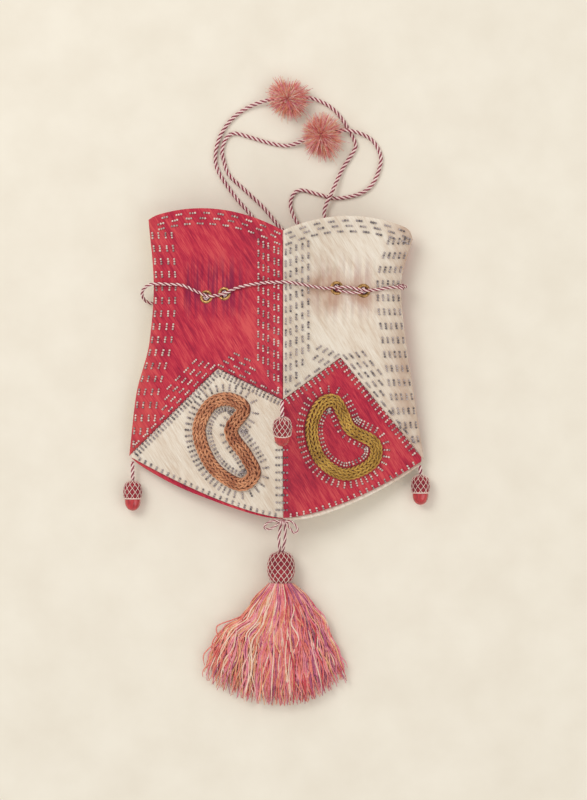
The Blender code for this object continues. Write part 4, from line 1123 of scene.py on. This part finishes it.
# Route of the inner pull cord beyond the mouth, likewise
INNER_LOOP = ((-3.9, 191.6, 3.7), (-13.1, 202.9, 1.8), (-25.0, 214.1, 1.4), (-35.4, 224.1, 1.4),
              (-39.0, 234.0, 1.4), (-39.9, 240.6, 1.4), (-37.3, 248.0, 1.4), (-31.7, 251.3, 1.4),
              (-21.1, 248.6, 1.4), (-7.8, 244.7, 1.4), (2.8, 243.3, 1.9), (12.1, 246.0, 4.8),
              (24.7, 249.9, 8.2), (34.6, 252.3, 6.0), (43.6, 253.0, 4.7), (56.0, 248.6, 1.8),
              (62.5, 240.6, 1.4), (63.8, 231.4, 1.4), (58.5, 218.1, 1.4), (49.3, 211.4, 1.4),
              (34.6, 208.8, 1.4), (22.8, 211.4, 1.4), (12.1, 214.1, 1.4), (6.8, 211.4, 1.4),
              (4.8, 204.8, 1.7), (6.8, 197.0, 3.0), (10.8, 189.6, 3.8))
INNER_LOOP_POM = 12

# Route of each strand inside the pouch, from just under its eyelet to the mouth: x, the share of the
# way from the waist to the rim, and z
OUTER_LEFT_INSIDE = ((-45.2, -0.13, 11.8), (-40.4, 0.02, 8.9), (-32.0, 0.24, 7.0), (-22.0, 0.47, 4.3),
                     (-14.6, 0.72, 3.9), (-13.8, 1.0, 3.9))
INNER_LEFT_INSIDE = ((-33.6, -0.07, 14.2), (-28.0, 0.07, 10.0), (-17.0, 0.25, 6.9), (-4.0, 0.49, 4.2),
                     (3.6, 0.72, 3.9), (2.8, 0.94, 3.9))
INNER_RIGHT_INSIDE = ((31.4, 0.04, 15.5), (27.6, 0.22, 8.6), (20.0, 0.51, 4.4), (15.0, 0.78, 3.9))
OUTER_RIGHT_INSIDE = ((47.8, 0.02, 12.6), (43.6, 0.2, 8.3), (36.0, 0.53, 4.6), (29.0, 0.9, 3.9))

# Route of the waist cord: over the front from left to right, then under the back to the left again.
# The second number is y measured from the waist.
WAIST_FRONT = ((-74.0, 2.0), (-66.0, 1.5), (-57.0, -2.4), (-49.4, -5.6), (-43.5, -5.4),
               (-37.7, -4.1), (-30.0, -0.6), (-20.0, 1.6), (-10.0, 2.6), (-4.0, 2.8), (0.0, 2.8),
               (4.0, 2.6), (10.0, 1.8), (20.0, 0.0), (28.0, -0.9), (34.5, -0.4), (43.0, -0.2),
               (52.0, -2.0), (60.0, -1.7), (68.0, -0.4))
WAIST_RIGHT_TURN = ((76.5, 0.4, 19.6), (80.0, 0.8, 14.0), (78.8, 0.6, 5.6), (71.0, -0.4, 1.4))
WAIST_BACK = ((52.0, -2.2), (34.5, -1.4), (16.0, 0.0), (0.0, 1.0), (-18.0, -1.0), (-37.7, -4.2),
              (-49.4, -6.0), (-66.0, -9.2))
WAIST_BACK_Z = 1.3
WAIST_LEFT_TURN = ((-80.0, -10.4, 1.8), (-88.0, -9.6, 4.4), (-91.8, -6.0, 8.6), (-91.4, -1.4, 12.6),
                   (-87.0, 1.8, 16.2), (-81.0, 2.4, 18.4))


def eyelet_axis(spot):
    """The middle of the cloth in a front eyelet, and the way out of it."""
    px, py, pz, across, along = PLANES[half_at(spot[0]).sign]
    normal = unit(np.array((-across, -along, 1.0)))
    x, y = spot
    return np.array((x, y, pz + across * (x - px) + along * (y - py))) + normal * CLOTH / 2, normal


def strand_end(spot):
    middle, normal = eyelet_axis(spot)
    return [middle + normal * down for down in (STRAND_TOP, -2.4, -6.0)]


def inside_route(points):
    rise = FRONT_RIM_UP - WAIST_UP
    return [(x, WAIST_UP + share * rise, z) for x, share, z in points]


def pull_cord(name, node, ends, inside, loop):
    """A free pull cord; its pompon is made by pompon()."""
    left = strand_end(ends[0]) + inside_route(inside[0])
    right = strand_end(ends[1]) + inside_route(inside[1])
    line = smooth_line(left + list(loop) + right[::-1], 0.5)
    obj = twisted(name, line, CORD_D, CORD_LAY)
    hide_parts(node)


WAIST_KNOB = (76.5, WAIST_UP + 0.4, 19.6)


def waist_cord(ground):
    """The cord round the waist, which dips into each front eyelet that it passes."""
    over = smooth_line([(x, WAIST_UP + up, 0.0) for x, up in WAIST_FRONT], 1.8)
    for spot in over:
        near = nearest_eyelet(spot[0], spot[1])
        spot[2] = ground.rest(spot[0], spot[1], WAIST_CORD_D / 2)
        if near < EYELET_OUTER_R + 1.5:
            eyelet = min(LEFT_EYELETS + RIGHT_EYELETS, key=lambda e: math.dist(e, (spot[0], spot[1])))
            middle, normal = eyelet_axis(eyelet)
            slope = -(normal[0] * (spot[0] - middle[0]) + normal[1] * (spot[1] - middle[1])) / normal[2]
            lift = 3.1 - 1.6 * (1 - smoothstep(0.6, EYELET_OUTER_R - 1.2, near))
            lift -= 1.1 * smoothstep(EYELET_OUTER_R - 0.5, EYELET_OUTER_R + 1.5, near)
            spot[2] = middle[2] + slope + lift
    back = [(x, WAIST_UP + up, WAIST_BACK_Z) for x, up in WAIST_BACK]
    turn = [(x, WAIST_UP + up, z) for x, up, z in WAIST_RIGHT_TURN]
    slack = [(x, WAIST_UP + up, z) for x, up, z in WAIST_LEFT_TURN]
    line = smooth_line(list(over) + turn + back + slack, 0.5, closed=True)
    obj = twisted("waist_cord_twist", line, WAIST_CORD_D, WAIST_CORD_LAY, closed=True)
    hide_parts("waist_cord")
    beside = []
    for k in range(31):
        x, y = (np.array(RIGHT_EYELETS[0]) * (30 - k) + np.array(RIGHT_EYELETS[1]) * k) / 30
        away = math.sin(math.pi * k / 30)
        y -= 1.1 + 0.9 * away
        beside.append((x, y, ground.rest(x, y, WAIST_CORD_D / 2) + 0.5 - 0.3 * away))
    twisted("waist_cord_doubled", smooth_line(beside, 0.5), WAIST_CORD_D * 0.85, WAIST_CORD_LAY)
    middle = line[np.argmin(np.linalg.norm(line - np.array(WAIST_KNOB), axis=1))]
    wraps = []
    for k in range(49):
        turn = 2 * math.pi * k / 24
        wraps.append(middle + np.array((1.5 * math.cos(turn), 1.2 * (k / 24 - 1), 1.5 * math.sin(turn))))
    twisted("waist_cord_knob", np.array(wraps), WAIST_CORD_D * 0.8, 6.0)


def hitches():
    """A small loop of the pull cord's end in each front eyelet."""
    for number, spot in enumerate(LEFT_EYELETS + RIGHT_EYELETS):
        middle, normal = eyelet_axis(spot)
        side = unit(np.cross(normal, (0.0, 1.0, 0.0)))
        rise = np.cross(normal, side)
        line = []
        for k in range(61):
            turn = 2 * math.pi * (k / 60 * 1.6 + number * 0.23)
            reach = 1.75 - 1.2 * k / 60
            line.append(middle + normal * (0.5 + 0.6 * k / 60)
                        + (side * math.cos(turn) + rise * math.sin(turn)) * reach)
        twisted(f"hitch_{number + 1}", np.array(line), 1.5, 4.2, plies=(LILAC_PLY, PALE_PLY))


POMPON_FIBRES = 1800
SKIRT_YARNS = 820
EYELET_SIDES = 40


def pompon(name, node, loop, index, seed, reaches):
    """A tuft of yarn ends that springs from its knot on the cord. reaches is (angle, length) round it."""
    draw = random.Random(seed)
    middle = np.array(loop[index])
    angles, lengths = [a for a, _ in reaches], [r for _, r in reaches]
    steps, sides = 7, 4
    lines, radii, which = [], [], []
    for _ in range(POMPON_FIBRES):
        angle = draw.uniform(0, 2 * math.pi)
        height = draw.uniform(-1, 1)
        flat = math.sqrt(max(1 - height**2, 0.0))
        way = np.array((math.cos(angle) * flat, math.sin(angle) * flat, height))
        wide = float(np.interp(math.degrees(angle), angles, lengths, period=360.0))
        size = np.array((wide, wide, 7.0)) * draw.uniform(0.5, 1.0) ** 0.5
        curl = np.array((draw.gauss(0, 1), draw.gauss(0, 1), draw.gauss(0, 0.5))) * 2.4
        t = np.linspace(0.06, 1.0, steps)[:, None]
        line = middle + way * size * t + curl * t**2 * np.sin(t * 2.2)
        line[:, 2] = np.maximum(line[:, 2] - 0.8 * t[:, 0] ** 2, 0.4 + 0.25 * draw.random())
        lines.append(line)
        radii.append(np.linspace(0.24, 0.09, steps) * draw.uniform(0.8, 1.2))
        tip = draw.choices((CORAL_YARN, PINK_YARN, ORANGE_YARN, CREAM_YARN, RED_YARN), (7, 5, 5, 5, 1))[0]
        root = draw.choices((PLUM_YARN, RED_YARN), (5, 3))[0]
        dark = draw.choice((0, 1, 2, 2))
        which += [root] * (dark * sides) + [tip] * ((steps - 1 - dark) * sides) + [root, tip]
    points, faces = strands(lines, radii, sides, (0.3, 0.2, 0.93))
    obj = mesh_object(name, points, faces, YARNS, which)
    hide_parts(node)
    return obj


def eyelets():
    """Brass eyelets with rolled flanges."""
    inside, roll = CLOTH / 2 + 0.1, 0.55
    band = EYELET_OUTER_R - EYELET_HOLE_R - 2 * roll
    loop = []
    for k in range(9):
        turn = math.pi * k / 8
        loop.append((inside + roll * 1.3 * math.sin(turn),
                     EYELET_OUTER_R - roll - band * k / 8 + roll * math.cos(turn)))
    front = [(-a, r) for a, r in loop] + [(a, r) for a, r in loop[::-1]]
    spots = [(e, is_front) for is_front in (True, False) for e in LEFT_EYELETS + RIGHT_EYELETS]
    for number, (spot, is_front) in enumerate(spots):
        if is_front:
            middle, normal = eyelet_axis(spot)
        else:
            z = back_outer(half_at(spot[0]), *spot) + CLOTH / 2
            middle, normal = np.array((*spot, z + 0.2)), np.array((0.0, 0.0, 1.0))
        points, faces = lathe(front, EYELET_SIDES, middle, normal)
        faces = faces[:-2]
        last = (len(front) - 1) * EYELET_SIDES
        for j in range(EYELET_SIDES):
            beside = (j + 1) % EYELET_SIDES
            faces.append((last + j, last + beside, beside, j))
        where = "front" if is_front else "back"
        obj = mesh_object(f"eyelet_ring_{number + 1}", points, faces, (BRASS,))
        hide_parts(f"eyelet_{where}_{number % 4 + 1}")


# How many threads each way, and the turns that each makes round the core
CAP_NET = (10, 0.24)
HEAD_NET = (13, 0.32)


def net_on(profile, start, axis, count, turns, thread, name, body):
    """Two sets of slanting threads that cross over a turned core."""
    axis, side, rise = square_axes(axis)
    alongs, radii = np.array([p[0] for p in profile]), np.array([p[1] for p in profile])
    steps = 26
    at = np.linspace(alongs[0], alongs[-1], steps)
    reach = np.interp(at, alongs, radii) + thread * 0.35
    lines = []
    for way in (-1, 1):
        for k in range(count):
            turn = 2 * math.pi * (k / count + way * turns * (at - at[0]) / (at[-1] - at[0]))
            out = side * np.cos(turn)[:, None] + rise * np.sin(turn)[:, None]
            lines.append(np.asarray(start) + axis * at[:, None] + out * (reach + (0.12 if way > 0 else 0.0))[:, None])
    points, faces = strands(lines, np.full((len(lines), steps), thread), 5, axis)
    mesh_object(name, points, faces, (NET,), body=body)


def core(profile, start, axis, count, turns, swell, name, body, node):
    """The turned core, puffed up between the net's threads."""
    axis, side, rise = square_axes(axis)
    alongs, radii = np.array([p[0] for p in profile]), np.array([p[1] for p in profile])
    steps, sides = 60, count * 12
    at = np.linspace(alongs[0], alongs[-1], steps)
    reach = np.interp(at, alongs, radii)
    angle = angles_round(sides)
    share = (at - at[0]) / (at[-1] - at[0])
    first = np.abs(np.sin(count * (angle[None, :] - 2 * math.pi * turns * share[:, None]) / 2))
    second = np.abs(np.sin(count * (angle[None, :] + 2 * math.pi * turns * share[:, None]) / 2))
    bulge = np.minimum(first, second) ** 0.6 * swell * np.minimum(reach / np.max(reach) * 1.2, 1.0)[:, None]
    radius = reach[:, None] - swell * 0.6 + bulge
    out = side * np.cos(angle)[:, None] + rise * np.sin(angle)[:, None]
    points = np.asarray(start) + axis * at[:, None, None] + out[None] * radius[..., None]
    obj = mesh_object(name, points.reshape(-1, 3), ring_faces(steps, sides), (CELLS,), body=body)
    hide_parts(node)


def node_points(node):
    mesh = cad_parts[node].data
    found = np.empty(len(mesh.vertices) * 3)
    mesh.vertices.foreach_get("co", found)
    return found.reshape(-1, 3) / MM + ORIGIN


def acorn(where, body):
    """Cord, netted cap and lacquered nut of one pendant, on the axis that the frame gives."""
    cap, nut = node_points(f"acorn_cap_{where}"), node_points(f"acorn_nut_{where}")
    middle = (cap.max(0) + cap.min(0)) / 2
    tip = (nut.max(0) + nut.min(0)) / 2
    axis = unit(tip - middle)
    along = (cap - middle) @ axis
    start = middle + axis * along.min()
    r, long = CAP_D / 2 - 0.25, CAP_LENGTH
    shape = ((0.0, 0.12), (0.03, 0.38), (0.09, 0.63), (0.19, 0.81), (0.31, 0.92), (0.46, 0.98), (0.62, 1.0),
             (0.78, 0.985), (0.91, 0.95), (1.0, 0.92))
    profile = [(long * along, r * share) for along, share in shape]
    core(profile, start, axis, *CAP_NET, 0.8, f"acorn_core_{where}", body, f"acorn_cap_{where}")
    net_on(profile, start, axis, *CAP_NET, 0.2, f"acorn_net_{where}", body)
    lip = start + axis * (long - 0.1)
    band = []
    other = unit(np.cross(axis, (0.0, 0.0, 1.0)))
    up = np.cross(other, axis)
    for k in range(33):
        turn = 2 * math.pi * k / 32
        band.append(lip + (other * math.cos(turn) + up * math.sin(turn)) * r * 0.92)
    points, faces = strands([band], np.full((1, 33), 0.42), 6, axis)
    mesh_object(f"acorn_lip_{where}", points, faces, (NET,), body=body)
    seat = start + axis * (long + GAP)
    nut_r = NUT_D / 2
    round_nut = [(-0.6, nut_r - 0.5), (-0.1, nut_r - 0.12)]
    for k in range(15):
        t = k / 15
        round_nut.append((NUT_LENGTH * t, nut_r * math.sqrt(1 - t**2.6)))
    round_nut.append((NUT_LENGTH, 0.25))
    points, faces = lathe(sorted(round_nut), 32, seat, axis)
    obj = mesh_object(f"acorn_fruit_{where}", points, faces, (LACQUER,), body=body)
    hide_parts(f"acorn_nut_{where}")
    cord = node_points(f"acorn_cord_{where}")
    knot = cord[np.argsort(cord[:, 1])[-9:]].mean(0)
    knot = knot + unit(start - knot) * 0.6
    route = [knot, start - axis * np.linalg.norm(start - knot) * 0.4, start - axis * GAP]
    obj = twisted(f"acorn_string_{where}", smooth_line(route, 0.45), ACORN_CORD_D * 0.9, ACORN_CORD_LAY, body=body)
    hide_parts(f"acorn_cord_{where}")


BOW_LEFT = ((-2.4, -2.4, 1.2), (-5.4, -1.8, 1.5), (-8.8, -2.6, 1.4), (-11.6, -4.6, 1.1), (-12.0, -6.4, 0.9),
            (-10.0, -7.4, 0.8), (-6.6, -6.4, 0.9), (-4.0, -4.6, 0.8), (-2.5, -3.4, 0.2))
BOW_RIGHT = ((2.4, -2.3, 1.2), (5.2, -2.3, 1.5), (7.4, -4.0, 1.2), (9.2, -6.6, 0.7), (9.2, -8.8, 0.4),
             (7.5, -9.8, 0.3), (5.8, -8.4, 0.7), (4.0, -6.0, 1.1), (2.5, -3.6, 0.8))


def tassel():
    knot_z, knot_y = BOTTOM_Z - 1.0, -KNOT_R - KNOT_GAP
    head_z = HEAD_D / 2 + ACORN_FLOOR_GAP
    for name, route in (("left", BOW_LEFT), ("right", BOW_RIGHT)):
        points = [(x, y, knot_z + z) for x, y, z in route]
        points = [(0.0, knot_y, knot_z + 0.6)] + points + [(0.0, knot_y, knot_z + 0.1)]
        obj = twisted(f"bow_{name}", smooth_line(points, 0.3), BOW_CORD_D, BOW_CORD_LAY)
        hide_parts(f"tassel_bow_{name}")
    for name, side in (("left", -1), ("right", 1)):
        route = (
            (side * HANGER_D * 0.6, knot_y - KNOT_R + 0.6, knot_z - 1.4),
            (HEAD_X * 0.5 + side * HANGER_D, (knot_y + HEAD_START) / 2, (knot_z + head_z) / 2 + 0.2),
            (HEAD_X + side * HANGER_D * 0.5, HEAD_START + 0.2, head_z + 0.4),
        )
        obj = twisted(f"hanger_{name}", smooth_line(route, 0.4), HANGER_D, HANGER_LAY, body="tassel")
        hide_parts(f"tassel_cord_{name}")
    wraps = []
    for k in range(121):
        turn = 2 * math.pi * k / 30
        across = KNOT_R * (1.5 * k / 120 - 0.75)
        reach = KNOT_R - 0.75 + 0.25 * math.sin(math.pi * k / 120)
        wraps.append((across, knot_y + reach * math.cos(turn), knot_z + reach * math.sin(turn)))
    obj = twisted("tassel_tie", np.array(wraps), BOW_CORD_D, BOW_CORD_LAY)
    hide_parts("tassel_knot")
    r = HEAD_D / 2 - 0.25
    profile = []
    for k in range(25):
        t = k / 24
        reach = r * math.sqrt(max(1 - abs(2 * t - 1) ** 2.2 * 0.68, 0.02))
        profile.append((HEAD_LENGTH * t, reach if k else r * 0.35))
    start = np.array((HEAD_X, HEAD_START, head_z))
    core(profile, start, (0, -1, 0), *HEAD_NET, 0.9, "tassel_core", "tassel", "tassel_head")
    net_on(profile, start, (0, -1, 0), *HEAD_NET, 0.22, "tassel_net", "tassel")
    skirt()


def skirt():
    """Several hundred wavy yarns that fan out on the table."""
    draw = random.Random(11)
    head_end = HEAD_START - HEAD_LENGTH
    left_out, right_out = SKIRT_LEFT_OUT + HEAD_X, SKIRT_RIGHT_OUT - HEAD_X
    left = curve_through(((0.0, SKIRT_TOP_OUT), (0.12, left_out * 0.29), (0.3, left_out * 0.44),
                          (0.41, left_out * 0.54), (0.53, left_out * 0.77), (0.7, left_out * 0.86), (1.0, left_out)))
    right = curve_through(((0.0, SKIRT_TOP_OUT), (0.12, right_out * 0.38), (0.25, right_out * 0.51),
                           (0.42, right_out * 0.66), (0.65, right_out * 0.79), (1.0, right_out)))
    thick = curve_through(((0.0, 6.4), (0.15, 7.6), (0.5, 6.6), (1.0, 4.4)))
    centre = curve_through(((0.0, HEAD_D / 2), (0.15, 8.4), (0.5, 7.4), (1.0, 5.2)))
    steps, sides = 28, 4
    lines, radii, which = [], [], []
    marks = np.linspace(0.0, 1.0, steps)
    shape = np.array([(left(t), right(t), thick(t), centre(t)) for t in marks])
    for _ in range(SKIRT_YARNS):
        angle = draw.uniform(0, 2 * math.pi)
        reach = math.sqrt(draw.uniform(0.12, 1.0))
        q, w = math.cos(angle) * reach, math.sin(angle) * reach
        if draw.random() < 0.3:
            q = max(-1.0, min(1.0, draw.gauss(0, 0.55)))
            w = math.sqrt(max(1 - q * q, 0)) * draw.uniform(0.6, 1.0)
        drift = draw.gauss(0, 0.08)
        size = draw.uniform(0.84, 1.035)
        waves = [(draw.uniform(0.5, 1.5), draw.uniform(1.2, 3.6), draw.uniform(0, 6.3)) for _ in range(2)]
        line = []
        for t, (out_left, out_right, half_thick, z) in zip(marks, shape):
            place = clamp(q + drift * t * (1 - 0.5 * abs(q)), -1.0, 1.0)
            x = HEAD_X + (out_right if place > 0 else out_left) * place
            down = SKIRT_SIDE_LENGTH * t + SKIRT_END_BOW * t * t * (1 - place * place)
            y = head_end + 0.8 - down * (size if t > 0.5 else 1 + (size - 1) * t * 2)
            sway = sum(a * math.sin(f * 2 * math.pi * t + p) - a * math.sin(p) for a, f, p in waves)
            x += sway * min(1.0, t * 2.2)
            low = z + half_thick * w * 0.95
            line.append((x, y, max(low + 0.3 * math.sin(9 * t + waves[0][2]), 0.75)))
        lines.append(line)
        thin = draw.uniform(0.34, 0.54)
        radii.append([thin * (1.0 - 0.55 * smoothstep(0.85, 1.0, t)) for t in marks])
        lean = 0.5 + 0.5 * q
        weights = (6, 4 + 3 * lean, 5 - 2 * lean, 0.8 + 3.5 * lean**3, 3.4, 1.4)
        tone = draw.choices(range(6), weights)[0]
        high = PLUM_YARN if draw.random() < 0.12 + 0.5 * clamp(lean - 0.4) else tone
        turned = int(steps * draw.uniform(0.12, 0.36))
        which += [high] * (turned * sides) + [tone] * ((steps - 1 - turned) * sides) + [high, tone]
    points, faces = strands(lines, radii, sides)
    obj = mesh_object("tassel_threads", points, faces, YARNS, which, body="tassel")
    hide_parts("tassel_skirt")


# The picture's view: lamps are (name, place, size, power)

FLOOR_HALF = 3.0
FLOOR_Z = -0.0002
SKY_STRENGTH = 0.66
LAMPS = (("key", (-0.9, 0.9, 1.6), 0.9, 13.6), ("fill", (1.1, -0.5, 1.3), 1.2, 4.2))
CAMERA_PLACE = (0.0106, 0.0362, 3.0)
CAMERA_LENS = 206.0


def stage_and_camera():
    floor = bpy.data.meshes.new("floor")
    wide, low = FLOOR_HALF, FLOOR_Z
    floor.from_pydata([(-wide, -wide, low), (wide, -wide, low), (wide, wide, low), (-wide, wide, low)],
                      [], [(0, 1, 2, 3)])
    paper = Nodes("floor_paper")
    tone = paper.noise(30.0, 4.0)
    paper.set(Base_Color=paper.ramp(tone, ((0.3, rgb(238, 229, 212)), (0.7, rgb(244, 236, 220)))), Roughness=0.95,
              Specular_IOR_Level=0.1)
    floor.materials.append(paper.made)
    obj = bpy.data.objects.new("floor", floor)
    bpy.context.scene.collection.objects.link(obj)
    world = bpy.data.worlds.new("soft_sky")
    bpy.context.scene.world = world
    world.use_nodes = True
    sky = world.node_tree.nodes["Background"]
    sky.inputs["Color"].default_value = (1.0, 0.99, 0.97, 1.0)
    sky.inputs["Strength"].default_value = SKY_STRENGTH
    for name, place, size, power in LAMPS:
        lamp = bpy.data.lights.new(name, "AREA")
        lamp.energy = power
        lamp.size = size
        held = bpy.data.objects.new(name, lamp)
        held.location = place
        held.rotation_euler = (Vector((0, 0.03, 0)) - Vector(place)).to_track_quat("-Z", "Y").to_euler()
        bpy.context.scene.collection.objects.link(held)
    camera = bpy.data.cameras.new("camera")
    camera.sensor_width = 36.0
    camera.lens = CAMERA_LENS
    camera.clip_end = 20.0
    eye = bpy.data.objects.new("camera", camera)
    eye.location = CAMERA_PLACE
    bpy.context.scene.collection.objects.link(eye)
    bpy.context.scene.camera = eye
    bpy.context.scene.view_settings.view_transform = "Standard"


def build():
    stage_and_camera()
    tuft_outer = pompon("pompon_outer_tuft", "pompon_outer", OUTER_LOOP, OUTER_LOOP_POM, 3,
                        ((0, 14.0), (20, 15.0), (55, 13.0), (90, 9.0), (113, 15.5), (150, 13.4), (180, 12.7),
                         (235, 11.0), (285, 14.0), (315, 14.6)))
    tuft_inner = pompon("pompon_inner_tuft", "pompon_inner", INNER_LOOP, INNER_LOOP_POM, 4,
                        ((65, 14.4), (107, 14.0), (175, 11.7), (230, 13.0), (290, 17.5), (325, 17.5), (350, 13.3)))
    pull_cord("pull_cord_outer_twist", "pull_cord_outer", (LEFT_EYELETS[0], RIGHT_EYELETS[1]),
              (OUTER_LEFT_INSIDE, OUTER_RIGHT_INSIDE), OUTER_LOOP)
    pull_cord("pull_cord_inner_twist", "pull_cord_inner", (LEFT_EYELETS[1], RIGHT_EYELETS[0]),
              (INNER_LEFT_INSIDE, INNER_RIGHT_INSIDE), INNER_LOOP)
    ground = Ground(all_cloth())
    eyelets()
    hitches()
    waist_cord(ground)
    wall_beads(LEFT, ground, BEAD_ON_RED, ((2.0, 5.9, 10.5, 14.6), 11.5, 8.5), (2.6, 5.2, 9.1, 12.3, 15.6),
               "beads_wall_left", 21)
    wall_beads(RIGHT, ground, SHADED_BEAD_ON_WHITE, ((2.2, 5.6, 9.0, 12.4, 15.7), 6.5, 9.2), (1.6, 4.6, 8.4, 12.3, 16.2),
               "beads_wall_right", 22)
    lozenge_beads(LEFT, ground, SHADED_BEAD_ON_WHITE, LEFT_BEAN, 9.2, (2.6, 4.2), "beads_lozenge_left", 23)
    lozenge_beads(RIGHT, ground, BEAD_ON_RED, RIGHT_BEAN, 8.6, (3.5, 4.4), "beads_lozenge_right", 24)
    seam_beads(ground, SHADED_BEAD_ON_WHITE, "beads_front_seam", 25)
    braid("braid_left", LEFT_BEAN, ground, COPPER, 9.2, "bean_front_left")
    braid("braid_right", RIGHT_BEAN, ground, GOLD, 8.6, "bean_front_right")
    for where in ("left", "right", "front"):
        acorn(where, f"acorn_{where}")
    acorn("back", "pouch")
    tassel()


build()
